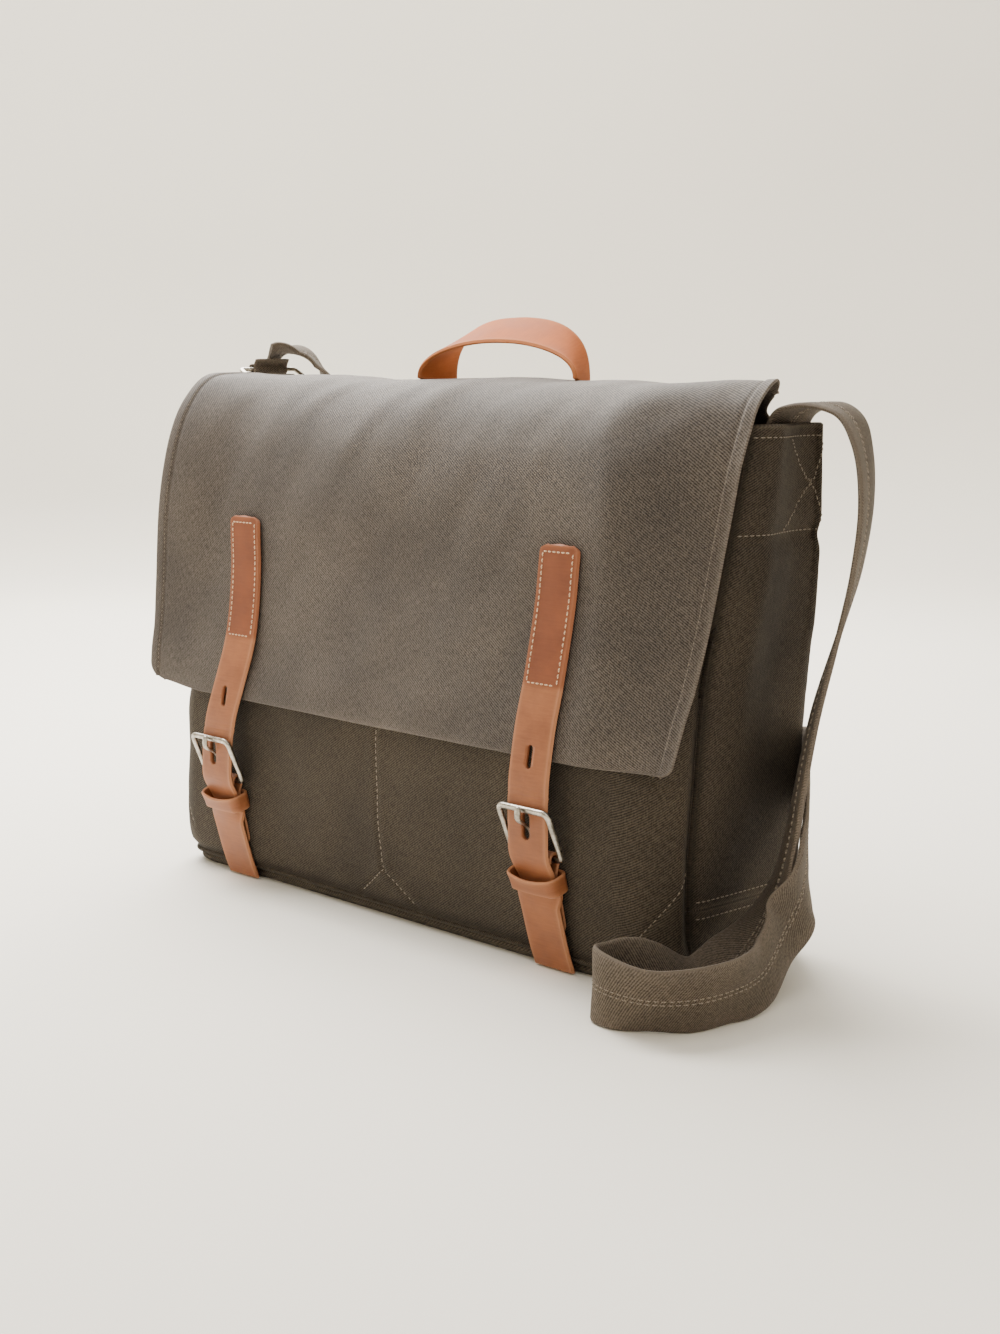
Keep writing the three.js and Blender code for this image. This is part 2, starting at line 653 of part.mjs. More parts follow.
// Points on an arc about a centre in a plane, from one angle to another in degrees.
function arc([cx, cy], radius, from, to, step) {
  const points = [];
  const count = Math.round(Math.abs(to - from) / step);
  for (let k = 0; k <= count; k += 1) {
    const a = mix(from, to, k / count) * Math.PI / 180;
    points.push([cx + radius * Math.cos(a), cy + radius * Math.sin(a)]);
  }
  return points;
}

// A strip of one width along Y whose outer face follows [x, z] points.
function stripAlongY(line, y, width, thickness, steps, inward) {
  const curve = profile(line);
  return sheet((u, v) => {
    const [x, z] = curve(v);
    return [x, y + (u - 0.5) * width, z];
  }, 1, steps, thickness, inward);
}

function makeRing() {
  const lean = RING_LEAN * Math.PI / 180;
  const reach = RING_SIZE[0] - RING_WIRE;
  const y = ANCHOR_Y + 3;
  const ring = ringPlate(RING_SIZE[0], RING_SIZE[1], RING_WIRE, 3, RING_WIRE - 0.4);
  ring.translate(-reach / 2, 0, 0);
  ring.rotateY(lean);
  ring.translate(RING_BAR[0], y, RING_BAR[1]);
  add('strap_ring', ring, nickel);
  const farBar = [RING_BAR[0] - Math.cos(lean) * reach, RING_BAR[1] + Math.sin(lean) * reach];
  const around = BAR_EYE + TAB_CLOTH;
  const fold = [...arc(farBar, around, 100, 390, 18), [farBar[0] + 6.2, farBar[1] + 6.6]];
  add('strap_end', stripAlongY(fold, y, WEBBING - 1, TAB_CLOTH, 26, -1), canvas);
  const bottom = -WEBBING_X - 0.6;
  const rise = [[bottom, 230], [bottom, 250], [bottom, 268], [bottom - 2, 278], [bottom - 8, 285.5]];
  const loop = arc(RING_BAR, around, 235, -30, 18);
  const tab = stripAlongY([...rise, ...loop], ANCHOR_Y + 1, WEBBING - 3, TAB_CLOTH, 34, 1);
  add('strap_tab', tab, canvas);
}

makeBase();
makePiping();
makeShell();
makeInside();
makeFlap();
makeHandle();
for (const [side, word] of SIDES) {
  makeFlapStrap(side, word);
  makeBuckle(side, word);
}
makeShoulderStrap();
makeRing();

export default bag;
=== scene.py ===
import bpy
import math
import numpy as np
from numpy import array, clip, cos, linspace, minimum, pi, sin, stack, vstack, where
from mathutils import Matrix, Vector


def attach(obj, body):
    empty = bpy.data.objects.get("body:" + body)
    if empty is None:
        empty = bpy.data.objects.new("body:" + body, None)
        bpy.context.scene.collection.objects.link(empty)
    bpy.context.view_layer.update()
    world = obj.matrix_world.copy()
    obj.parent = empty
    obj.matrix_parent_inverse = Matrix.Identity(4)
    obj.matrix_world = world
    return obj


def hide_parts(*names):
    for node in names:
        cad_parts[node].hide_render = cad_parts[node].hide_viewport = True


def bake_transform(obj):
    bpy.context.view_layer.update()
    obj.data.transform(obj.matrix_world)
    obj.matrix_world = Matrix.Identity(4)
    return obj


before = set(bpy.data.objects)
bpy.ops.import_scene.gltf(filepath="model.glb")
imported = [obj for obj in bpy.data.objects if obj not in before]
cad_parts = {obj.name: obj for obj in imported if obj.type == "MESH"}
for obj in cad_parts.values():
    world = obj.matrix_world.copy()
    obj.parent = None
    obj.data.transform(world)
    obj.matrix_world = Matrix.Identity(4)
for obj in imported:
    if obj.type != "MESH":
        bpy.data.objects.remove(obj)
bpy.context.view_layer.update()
MM = 0.001

# ---- the CAD's driving sizes, in millimetres ----
HALF_WIDTH, CLOTH, GAP, BACK_Y = 199.0, 2.4, 0.5, 60.0
PIPING_Z, WALL_Z, CROSS_Z, GUSSET_TOP, MOUTH_Z = 7.6, 9.6, 40.0, 274.0, 262.0
FLAP_HALF, STRAP_X, STRAP_WIDTH, LEATHER = 206.0, 127.0, 26.0, 2.4
HINGE = (57.0, 277.0)
HEEL_BAR = (-70.2, 61.5)
CLOSURE_X = {"left": -135.0, "right": 127.0}
STITCHED = 69.5
FRAME_TILT, FRAME_WIDTH, FRAME_HEIGHT, FRAME_WIRE = 23.0, 38.0, 31.0, 3.4
HANDLE_Y, HANDLE_WIDTH, HANDLE_SPAN = 30.0, 28.0, 61.0
WEBBING, WEB_THICK, ANCHOR_Y, WEBBING_X = 38.0, 3.0, 36.5, 192.6
RING_BAR, RING_LEAN, RING_SIZE, RING_WIRE, BAR_EYE = (-218.5, 294.0), 26.0, (17.4, 47.0), 3.2, 2.5
SIDES = ((-1, "left"), (1, "right"))

FRONT_FACE = [
    (0, -54), (10, -58.5), (28, -62), (55, -66), (95, -68.5), (112, -67.5), (130, -63), (148, -58.5), (168, -54.5),
    (190, -51), (215, -48), (240, -40), (262, -29),
]
FRONT_SEAM = [
    (0, -35), (57, -36), (104, -32), (144, -28), (173, -22), (205, -14), (230, -7), (262, 1), (274, 3),
]
FLAP_MIDDLE = [
    (57.2, 272.5), (55, 280), (46, 288.5), (30, 293.5), (14, 295), (-9, 292), (-27, 281), (-40, 263), (-48, 240),
    (-52.8, 215), (-55.8, 190), (-60, 168), (-65, 146), (-69.8, 128), (-72.6, 111.5),
]
FLAP_LEFT = [
    (36, 275), (32, 279), (26, 285), (21, 291), (14, 296.5), (-12, 297), (-29, 293.5), (-42, 280), (-52, 260),
    (-59, 235), (-63, 210), (-66.5, 175), (-69, 148), (-71, 130), (-72, 115),
]
FLAP_RIGHT = [
    (36, 275), (32, 279), (26, 284), (20, 289.5), (13, 295), (1, 284.5), (-6, 271), (-12, 256), (-17, 240),
    (-23.5, 217), (-30, 194), (-37, 172), (-45, 150), (-53, 131), (-61, 111.5),
]
STRAP_TAIL = [
    (-76, 113), (-77.8, 101), (-78.5, 89), (-78.3, 76), (-77.5, 62), (-72.4, 51.5), (-70.9, 45.6),
]
STRAP_ROUTE = [
    (193.4, 36.5, 232), (193, 37.5, 271), (198, 40.5, 280.5), (211, 44.5, 284), (224.5, 46, 278), (234.5, 44, 262),
    (240.5, 39.5, 236), (239, 35, 204), (233.5, 29, 172), (230.5, 17, 136), (230, 8, 104), (229, 2, 76),
    (226.5, -5, 50), (222, -22, 24), (220.5, -48, 13.6), (208.5, -75, 18.5), (197.5, -92, 19.6),
    (197.5, -102.5, 19.8), (210, -107, 19.6), (229, -101.5, 19), (244, -86, 19.1), (248, -62, 19.8),
    (245.5, -38, 22.5), (241.5, -20, 35), (241.5, -7.5, 51), (235, 5, 71), (222, 22, 90), (204.5, 46, 99.5),
    (190.5, 62, 99.5), (168, 68, 90), (125, 70, 55), (70, 77, 27), (0, 84, 21), (-85, 88, 23.5), (-150, 88, 62),
    (-180, 86, 140), (-209, 86, 262), (-221.5, 70, 306), (-226, 54, 311.4), (-231.8, 40.5, 308.2),
]
# How the strap faces: an index into its route, then the direction across it.
STRAP_TWIST = [
    (0, 0, 1, 0), (2, -0.1, 1, 0), (5, -0.42, 0.9, 0), (7, -0.5, 0.86, 0), (9, -0.64, 0.77, 0),
    (11, -0.68, 0.72, 0.05), (12, -0.7, 0.7, 0.2), (13, -0.72, 0.4, 0.5), (14, -0.85, 0.1, 0.45),
    (15, -0.5, -0.1, 0.8), (16, 0.08, 0.05, 1), (18, 0.1, -0.15, 0.98), (19, 0.3, -0.33, 0.9),
    (21, 0.3, -0.15, 0.94), (22, 0, 0, 1), (32, 0, 0, 1), (34, 0.5, 0, 0.8), (35, 0.95, 0, 0.25),
    (36, 1, -0.1, 0.2), (37, 0.6, -0.65, 0), (39, 0.05, -1, 0),
]


# ---- small maths, all on numpy arrays ----
def mix(a, b, t):
    return a + (b - a) * t


def ease(low, high, value):
    t = clip((value - low) / (high - low), 0, 1)
    return t * t * (3 - 2 * t)


def bump(value, centre, width):
    return np.exp(-((value - centre) / width) ** 2)


def hermite(start, end, out, into, t):
    """A cubic from start to end with the slopes out and into."""
    return ((2 * t**3 - 3 * t**2 + 1) * start + (t**3 - 2 * t**2 + t) * out
            + (3 * t**2 - 2 * t**3) * end + (t**3 - t**2) * into)


def along(pairs, key):
    """A smooth curve through (key, value) pairs, as part.mjs reads it."""
    keys, values = array(pairs, float).T
    last = len(pairs) - 1
    key = np.asarray(key, float)
    i = clip(np.searchsorted(keys, key, side="left") - 1, 0, last - 1)
    before, after = np.maximum(i - 1, 0), minimum(i + 2, last)
    h = keys[i + 1] - keys[i]
    m1 = (values[i + 1] - values[before]) / (keys[i + 1] - keys[before]) * h
    m2 = (values[after] - values[i]) / (keys[after] - keys[i]) * h
    return hermite(values[i], values[i + 1], m1, m2, (key - keys[i]) / h)


def spline(points, count, uniform=False):
    """A Catmull-Rom curve through points, at count even steps of its parameter."""
    p = array(points, float)
    p = vstack([2 * p[0] - p[1], p, 2 * p[-1] - p[-2]])
    t = linspace(0, len(points) - 1, count)
    i = minimum(t.astype(int), len(points) - 2)
    p0, p1, p2, p3 = p[i], p[i + 1], p[i + 2], p[i + 3]
    if uniform:
        m1, m2 = (p2 - p0) / 2, (p3 - p1) / 2
    else:
        d0, d1, d2 = (np.sqrt(np.linalg.norm(b - a, axis=1))[:, None] + 1e-9
                      for a, b in ((p0, p1), (p1, p2), (p2, p3)))
        m1 = ((p1 - p0) / d0 - (p2 - p0) / (d0 + d1) + (p2 - p1) / d1) * d1
        m2 = ((p2 - p1) / d1 - (p3 - p1) / (d1 + d2) + (p3 - p2) / d2) * d1
    return hermite(p1, p2, m1, m2, (t - i)[:, None])


def distances(line):
    """Distance along a line at each of its points."""
    return np.r_[0, np.cumsum(np.linalg.norm(np.diff(line, axis=0), axis=1))]


def read(at, keys, rows):
    """Rows of numbers interpolated at one key or at many."""
    return stack([np.interp(at, keys, rows[:, k]) for k in range(rows.shape[1])], -1)


def even(points, count, closed=False):
    """The same line at count even steps of its length."""
    p = np.asarray(points, float)
    if closed:
        return even(vstack([p, p[:1]]), count + 1)[:-1]
    s = distances(p)
    return read(linspace(0, s[-1], count), s, p)


def from_side(line, count, fine=600):
    """An even line through (y, z) places, at x = 0."""
    return even(spline([(0, *p) for p in line], fine), count)


def rounded_box(half, front, back, radii, steps):
    """An outline with round corners; radii are those of the front and of the back corners."""
    turn = np.arange(steps + 1) / steps * pi / 2
    points = []
    for k, (sx, sy) in enumerate(((-1, 1), (1, 1), (1, -1), (-1, -1))):
        y, r = (front, radii[0]) if sy > 0 else (back, radii[1])
        a = pi * (1 + k / 2) + turn
        points.append(stack([sx * (half - r) + r * cos(a), y + sy * r + r * sin(a)], 1))
    return vstack(points)


def corner_cut(distance, radius):
    """How far a round corner takes the side in, at a distance from the end."""
    reach = radius - np.sqrt(clip(radius**2 - (radius - distance) ** 2, 0, None))
    return where(distance < radius, reach, 0)


def xyz(*parts):
    """Points from their coordinates, each an array or one number."""
    return stack(np.broadcast_arrays(*parts), -1)


def around(count):
    return linspace(0, 2 * pi, count, endpoint=False)


def value_noise(x, y, seed):
    """Smooth noise from -1 to 1 on a lattice of unit cells."""
    xi, yi = np.floor(x), np.floor(y)
    fx, fy = ease(0, 1, x - xi), ease(0, 1, y - yi)

    def at(a, b):
        v = sin(a * 127.1 + b * 311.7 + seed * 74.7) * 43758.5453
        return (v - np.floor(v)) * 2 - 1
    return mix(mix(at(xi, yi), at(xi + 1, yi), fx), mix(at(xi, yi + 1), at(xi + 1, yi + 1), fx), fy)


def folds(x, y, size, seed):
    return (value_noise(x / size, y / size, seed)
            + 0.5 * value_noise(x / size * 2.1 + 5, y / size * 2.1, seed + 3)) / 1.5


def unit(v):
    return v / np.maximum(np.linalg.norm(v, axis=-1, keepdims=True), 1e-12)


def grid_uv(rows, cols):
    v, u = np.meshgrid(linspace(0, 1, rows), linspace(0, 1, cols), indexing="ij")
    return u, v


def from_ends(values, axis):
    """Distances from the low and from the high end of a grid's columns (axis 0) or rows (axis 1)."""
    return values - values.min(axis, keepdims=True), values.max(axis, keepdims=True) - values


# ---- materials ----
class Shading:
    """A material's nodes, with short ways to add and join them."""

    def __init__(self, name):
        self.material = bpy.data.materials.new(name)
        self.material.use_nodes = True
        self.shader = self.material.node_tree.nodes["Principled BSDF"]

    def join(self, node, inputs):
        """Link or set a node's inputs, by name or by number."""
        for key, value in inputs.items():
            if isinstance(value, bpy.types.NodeSocket):
                self.material.node_tree.links.new(value, node.inputs[key])
            elif isinstance(value, tuple) and node.inputs[key].type == "RGBA":
                node.inputs[key].default_value = (*value, 1)
            else:
                node.inputs[key].default_value = value

    def add(self, kind, inputs=None, output=0, **settings):
        node = self.material.node_tree.nodes.new("ShaderNode" + kind)
        for key, value in settings.items():
            setattr(node, key, value)
        self.join(node, inputs or {})
        return node.outputs[output]

    def cloth(self, scale=(1, 1, 1), turn=0.0):
        """A place on the piece, in metres along its cloth."""
        place = self.add("UVMap", uv_map="cloth")
        return self.add("Mapping", {"Vector": place, "Scale": scale, "Rotation": (0, 0, math.radians(turn))})

    def noise(self, place, scale, detail, **inputs):
        return self.add("TexNoise", {"Vector": place, "Scale": scale, "Detail": detail, **inputs}, "Fac")

    def ramp(self, source, *stops):
        color = self.add("ValToRGB", {0: source})
        for element, (place, tone) in zip(color.node.color_ramp.elements, stops):
            element.position, element.color = place, (*tone, 1)
        return color

    def blend(self, factor, a, b, mode="MIX"):
        return self.add("Mix", {0: factor, 6: a, 7: b}, 2, data_type="RGBA", blend_type=mode)

    def math(self, operation, a, b, clamp=False):
        return self.add("Math", {0: a, 1: b}, operation=operation, use_clamp=clamp)

    def total(self, *shares):
        """The sum of some outputs, each times its share."""
        tone, *others = (self.math("MULTIPLY", source, share) for source, share in shares)
        for other in others:
            tone = self.math("ADD", tone, other)
        return tone

    def attribute(self, name):
        return self.add("Attribute", output="Fac", attribute_name=name)

    def finish(self, height=None, strength=0.0, distance=0.0, **inputs):
        """Set the shader's inputs, with the grain's height as its relief."""
        if height is not None:
            inputs["Normal"] = self.add("Bump", {"Height": height, "Strength": strength, "Distance": distance})
        self.join(self.shader, {key.replace("_", " "): value for key, value in inputs.items()})
        return self.material


TWILL_ANGLE = 58


def canvas_material(name, dark, light, worn, twill=1.15, depth=0.45, gloss=(0.14, 0.8)):
    """Washed cotton twill: fine diagonal ribs, uneven yarn, soft fading, pale worn rims and painted shade at seams
    and hollows.
    """
    s = Shading(name)
    ribs = s.add("TexWave", {"Vector": s.cloth(turn=TWILL_ANGLE), "Scale": pi / 10 / (twill * MM),
                             "Distortion": 1.6, "Detail": 2.0, "Detail Scale": 0.7},
                 "Fac", wave_type="BANDS", bands_direction="X")
    yarn = s.noise(s.cloth((560, 1500, 1), TWILL_ANGLE), 1.0, 3.0, Roughness=0.65)
    warp = s.noise(s.cloth((1400, 300, 1)), 1.0, 2.0)
    cloud = s.noise(s.cloth(), 13.0, 4.0, Roughness=0.55)
    color = s.ramp(s.total((ribs, 0.22), (yarn, 0.42), (warp, 0.36)), (0.38, dark), (0.63, light))
    fade = s.ramp(cloud, (0.36, (0.80, 0.80, 0.81)), (0.66, (1.18, 1.17, 1.14)))
    color = s.blend(1.0, color, fade, "MULTIPLY")
    wear = s.math("MULTIPLY", s.attribute("rim"), s.math("MULTIPLY", yarn, 0.75), True)
    color = s.blend(wear, color, worn)
    # Painted shade: the attribute darkens the cloth beside seams, along the piped foot and down the gusset hollow.
    color = s.blend(s.attribute("shade_and_tone"), color, (0.22, 0.2, 0.18), "MULTIPLY")
    return s.finish(s.total((ribs, 0.45), (yarn, 0.6)), depth, 0.0006, Base_Color=color,
                    Specular_IOR_Level=gloss[0], Roughness=gloss[1], Sheen_Weight=0.04,
                    Sheen_Roughness=0.5, Sheen_Tint=(0.85, 0.8, 0.72))


def leather_material(name, base, dark, edge, rough=0.52, across=True, shine=0.3):
    """Smooth vegetable-tanned leather: cloudy tone, fine grain, paler burnished edges."""
    s = Shading(name)
    cloud = s.noise(s.cloth(), 38.0, 6.0, Roughness=0.62)
    streak = s.noise(s.cloth((60, 900, 1) if across else (900, 60, 1)), 1.0, 4.0, Roughness=0.7)
    grain = s.add("TexVoronoi", {"Vector": s.cloth(), "Scale": 1400.0}, "Distance", feature="DISTANCE_TO_EDGE")
    color = s.ramp(s.total((cloud, 0.7), (streak, 0.3)), (0.36, dark), (0.62, base))
    color = s.blend(s.math("MULTIPLY", s.attribute("rim"), 0.7), color, edge)
    color = s.blend(s.attribute("shade_and_tone"), color, (0.68, 0.52, 0.44), "MULTIPLY")
    gloss = s.ramp(cloud, (0.35, (rough - 0.07,) * 3), (0.7, (rough + 0.1,) * 3))
    return s.finish(s.total((grain, 0.5), (streak, 0.5)), 0.16, 0.0004, Base_Color=color,
                    Roughness=gloss, Specular_IOR_Level=shine)


def metal_material(name, base, tarnish):
    s = Shading(name)
    place = s.add("TexCoord", output="Object")
    cloud = s.noise(place, 220.0, 6.0, Roughness=0.7)
    scratch = s.noise(place, 900.0, 3.0, Distortion=1.5)
    return s.finish(scratch, 0.12, 0.0002, Base_Color=s.ramp(cloud, (0.38, tarnish), (0.6, base)),
                    Roughness=s.ramp(scratch, (0.3, (0.24,) * 3), (0.75, (0.42,) * 3)), Metallic=1.0)


def thread_material(name, light, dark):
    s = Shading(name)
    ply = s.add("TexWave", {"Vector": s.cloth(), "Scale": 420.0, "Distortion": 0.5}, "Fac",
                wave_type="BANDS", bands_direction="DIAGONAL")
    return s.finish(ply, 0.4, 0.0002, Base_Color=s.ramp(ply, (0.1, dark), (0.7, light)), Roughness=0.8)


def cloudy_material(name, scale, detail, low, high, **inputs):
    """A plain surface whose tone drifts between two (place, color) stops."""
    s = Shading(name)
    tone = s.noise(s.add("TexCoord", output="Object"), scale, detail)
    return s.finish(Base_Color=s.ramp(tone, low, high), **inputs)


# One canvas in two colours: the flap's is painted lighter, where its top takes the light, and the body's painted
# darker, for its shaded front and sides.
BODY = canvas_material("body_canvas", (0.012, 0.0092, 0.0066), (0.076, 0.061, 0.0455), (0.13, 0.107, 0.083))
FLAP = canvas_material("flap_canvas", (0.017, 0.0137, 0.0113), (0.12, 0.099, 0.083), (0.17, 0.14, 0.113),
                       gloss=(0.22, 0.66))
WEB = canvas_material("webbing_canvas", (0.028, 0.022, 0.0165), (0.135, 0.108, 0.083), (0.22, 0.18, 0.145))
LINING = canvas_material("lining_cloth", (0.15, 0.125, 0.10), (0.27, 0.235, 0.19), (0.32, 0.28, 0.23), 0.8, 0.2)
TAN = leather_material("strap_leather", (0.28, 0.1, 0.039), (0.185, 0.06, 0.023), (0.39, 0.17, 0.08))
HANDLE_TAN = leather_material("handle_leather", (0.42, 0.125, 0.043), (0.30, 0.084, 0.028),
                              (0.43, 0.165, 0.07), rough=0.7, across=False, shine=0.05)
NICKEL = metal_material("aged_nickel", (0.52, 0.485, 0.43), (0.26, 0.24, 0.20))
CREAM = thread_material("cream_thread", (0.70, 0.52, 0.34), (0.40, 0.26, 0.155))
TAUPE = thread_material("taupe_thread", (0.26, 0.215, 0.165), (0.125, 0.10, 0.076))
BOARD = cloudy_material("stiffener_board", 400.0, 5.0, (0.3, (0.03, 0.026, 0.02)), (0.7, (0.07, 0.06, 0.05)),
                        Roughness=0.8)


# ---- meshes ----
def set_values(mesh, name, values):
    layer = mesh.attributes.get(name) or mesh.attributes.new(name, "FLOAT", "POINT")
    layer.data.foreach_set("value", np.asarray(values, np.float32))


def build(name, verts, faces, material, uv=None, sharp=40, rim=None):
    """A mesh object from millimetre points."""
    mesh = bpy.data.meshes.new(name)
    mesh.from_pydata((np.asarray(verts, float) * MM).tolist(), [], [list(map(int, f)) for f in faces])
    mesh.validate()
    if uv is not None:
        loops = np.empty(len(mesh.loops), int)
        mesh.loops.foreach_get("vertex_index", loops)
        layer = mesh.uv_layers.new(name="cloth")
        layer.data.foreach_set("uv", (np.asarray(uv, float) * MM)[loops].ravel())
    if rim is not None:
        set_values(mesh, "rim", rim)
    mesh.materials.append(material)
    mesh.shade_smooth()
    mesh.set_sharp_from_angle(angle=math.radians(sharp))
    obj = bpy.data.objects.new(name, mesh)
    bpy.context.scene.collection.objects.link(obj)
    return obj


def normals(grid, wrap=False):
    du = np.roll(grid, -1, 1) - np.roll(grid, 1, 1) if wrap else np.gradient(grid, axis=1)
    return unit(np.cross(du, np.gradient(grid, axis=0)))


def lengths(grid, axis):
    """Distance along one axis of a grid, measured from its middle."""
    step = np.linalg.norm(np.diff(grid, axis=axis), axis=2)
    total = np.insert(np.cumsum(step, axis), 0, 0, axis)
    return total - total.mean(axis, keepdims=True)


RIM_BULGE = 0.42
SEAM_SHADE, FOOT_SHADE = 3.2, 4.0


def sheet(name, node, grid, thickness, inward, material=BODY, body="bag", wrap=False, worn=2.5,
          hem=0.0, seam=()):
    """Cloth or leather of one thickness, with a round rim, whose outer face is the grid [row, column].

    inward is 1 or -1, for the side its thickness is on. hem is a worn line's distance from both sides;
    seam is how much painted shade darkens the cloth beside its left, right and bottom seams.
    """
    rows, cols = grid.shape[:2]
    count = rows * cols
    inner = grid + normals(grid, wrap) * inward * thickness
    u, v = lengths(grid, 1), lengths(grid, 0)
    (left, right), (bottom, top) = from_ends(u, 1), from_ends(v, 0)
    rim = np.exp(-minimum.reduce([bottom, top] if wrap else [left, right, bottom, top]) / worn)
    if hem:
        rim = np.maximum(rim, 0.6 * bump(minimum(left, right), hem, 0.7))
    index = np.arange(count).reshape(rows, cols)
    here, beside = (index, np.roll(index, -1, 1)) if wrap else (index[:, :-1], index[:, 1:])
    quads = stack([here[:-1], beside[:-1], beside[1:], here[1:]], -1).reshape(-1, 4)
    faces = [quads[:, ::-inward], count + quads[:, ::inward]]
    if wrap:
        edges = [(index[0], grid[0] - grid[1]), (index[-1][::-1], (grid[-1] - grid[-2])[::-1])]
    else:
        edge = np.concatenate([index[0], index[1:, -1], index[-1, -2::-1], index[-2:0:-1, 0]])
        r, q = edge // cols, edge % cols
        edges = [(edge, grid[r, q] - grid[clip(r, 1, rows - 2), clip(q, 1, cols - 2)])]
    flat, flat_in, uv = grid.reshape(-1, 3), inner.reshape(-1, 3), stack([u, v], 2).reshape(-1, 2)
    verts, uvs, rims = [flat, flat_in], [uv, uv], [rim.ravel()] * 2
    start = 2 * count
    for edge, away in edges:
        verts.append((flat[edge] + flat_in[edge]) / 2 + unit(away) * thickness * RIM_BULGE)
        uvs.append(uv[edge])
        rims.append(np.ones(len(edge)))
        k = start + np.arange(len(edge))
        nxt, far = np.roll(k, -1), np.roll(edge, -1)
        faces += [stack([edge, k, nxt, far], 1)[:, ::inward],
                  stack([k, count + edge, count + far, nxt], 1)[:, ::inward]]
        start += len(edge)
    obj = build(name, vstack(verts), vstack(faces), material, vstack(uvs), 45, np.concatenate(rims))
    # Painted shade beside the seams and along the foot, stored for the canvas to multiply in.
    if seam:
        shade_and_tone = seam[0] * bump(left, 0, SEAM_SHADE) + seam[1] * bump(right, 0, SEAM_SHADE)
        if len(seam) > 2:
            shade_and_tone = np.maximum(shade_and_tone, seam[2] * bump(bottom, 0, FOOT_SHADE))
        shade_and_tone = shade_and_tone.ravel()
        set_values(obj.data, "shade_and_tone", np.concatenate([shade_and_tone, shade_and_tone, shade_and_tone[edges[0][0]]]))
    return finish(obj, body, node) if node else obj


def tube(name, line, radius, material, sides=10, closed=False, up=(0, 0, 1), flat=1.0):
    """A round or oval rod along a line, with flat ends unless it is closed."""
    p = np.asarray(line, float)
    t = unit(np.roll(p, -1, 0) - np.roll(p, 1, 0) if closed else np.gradient(p, axis=0))
    side = unit(np.cross(t, array(up, float)))
    top = np.cross(side, t)
    r = np.reshape(radius * np.ones(len(p)), (-1, 1, 1))
    angle = around(sides)[:, None]
    rings = p[:, None] + r * (cos(angle) * side[:, None] + flat * sin(angle) * top[:, None])
    uv = stack([np.tile(np.arange(sides) / sides * 2 * pi * r.max(), (len(p), 1)),
                   np.tile(distances(p)[:, None], (1, sides))], 2)
    return build(name, rings.reshape(-1, 3), ring_faces(len(p), sides, closed), material, uv.reshape(-1, 2), 60)


def ring_faces(rows, sides, closed=False):
    """Quads between rings of points, with a cap at each end unless they are closed."""
    index = np.arange(rows * sides).reshape(rows, sides)
    nxt = np.roll(index, -1, 1)
    low, high = np.arange(rows), np.roll(np.arange(rows), -1)
    if not closed:
        low, high = low[:-1], high[:-1]
    faces = stack([index[low], nxt[low], nxt[high], index[high]], -1).reshape(-1, 4).tolist()
    return faces if closed else faces + [list(index[0][::-1]), list(index[-1])]


BEAD = array([(0.0, 0.25), (0.14, 0.8), (0.5, 1.0), (0.86, 0.8), (1.0, 0.25)])
BEAD_SIDES = 6


def stitches(name, runs, thread=TAUPE, body="bag", slot="body_canvas", pitch=3.6, gap=1.0, radius=0.36, sunk=0.05):
    """Sewn thread along runs of (points, normals): one small bead of thread for each stitch."""
    part, swell = BEAD.T
    one_bead = ring_faces(len(part), BEAD_SIDES)
    angle = around(BEAD_SIDES)
    verts, faces, uvs = [], [], []
    for points, normal in runs:
        s = distances(points)
        for k in range(int(s[-1] / pitch)):
            ends = k * pitch + gap / 2 + part * (pitch - gap)
            q, m = read(ends, s, points), unit(read(ends, s, normal))
            side = unit(np.cross(unit(q[-1] - q[0]), m))
            lift = (radius * (0.55 * sin(part * pi)) - sunk)[:, None] * m
            ring = (q + lift)[:, None] + radius * swell[:, None, None] * (
                cos(angle)[:, None] * side[:, None] + sin(angle)[:, None] * m[:, None])
            base = len(verts) * ring.size // 3
            faces += [[base + i for i in face] for face in one_bead]
            verts.append(ring.reshape(-1, 3))
            uvs.append(stack([np.tile(angle * radius, (len(part), 1)),
                                 np.tile(ends[:, None], (1, BEAD_SIDES))], 2).reshape(-1, 2))
    return finish(build(name, vstack(verts), faces, thread, vstack(uvs), 80), body, slot=slot)


def finish(obj, body, *nodes, slot=None):
    """Hide the CAD nodes a piece replaces and attach it to the body it rides; slot is not used."""
    if nodes:
        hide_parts(*nodes)
    if body:
        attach(obj, body)
    return obj


# ---- camera, light and floor ----
# Each lamp: name, place and aim in metres, size, power and color.
LIGHTS = (("key", (-0.65, 0.35, 1.6), (0, 0, 0.15), 1.1, 56, (1.0, 0.97, 0.92)),
          ("near", (-0.56, -0.14, 0.80), (-0.18, 0, 0.27), 0.4, 8.2, (1.0, 0.98, 0.96)),
          ("back", (-1.25, 0.75, 1.2), (0, 0, 0.2), 1.1, 36, (1.0, 0.98, 0.95)),
          ("fill", (0.75, -0.45, 1.75), (0.1, 0, 0.1), 1.4, 11, (1.0, 0.97, 0.93)),
          ("backdrop", (-1.0, 0.5, 2.4), (-2.9, 1.6, 1.3), 1.0, 86, (1.0, 0.965, 0.90)))
CAMERA_PLACE, CAMERA_AIM, CAMERA_LENS = (0.8160, -0.7558, 0.3044), (0.02656, 0.0, 0.13829), 54.0
FLOOR_REACH, SWEEP_RADIUS, SWEEP_TOP, SWEEP_SIDES = 1.7, 1.5, 2.6, 96


def place_looking(name, data, place, aim):
    obj = bpy.data.objects.new(name, data)
    bpy.context.scene.collection.objects.link(obj)
    obj.location = place
    obj.rotation_euler = (Vector(aim) - obj.location).to_track_quat("-Z", "Y").to_euler()
    return obj


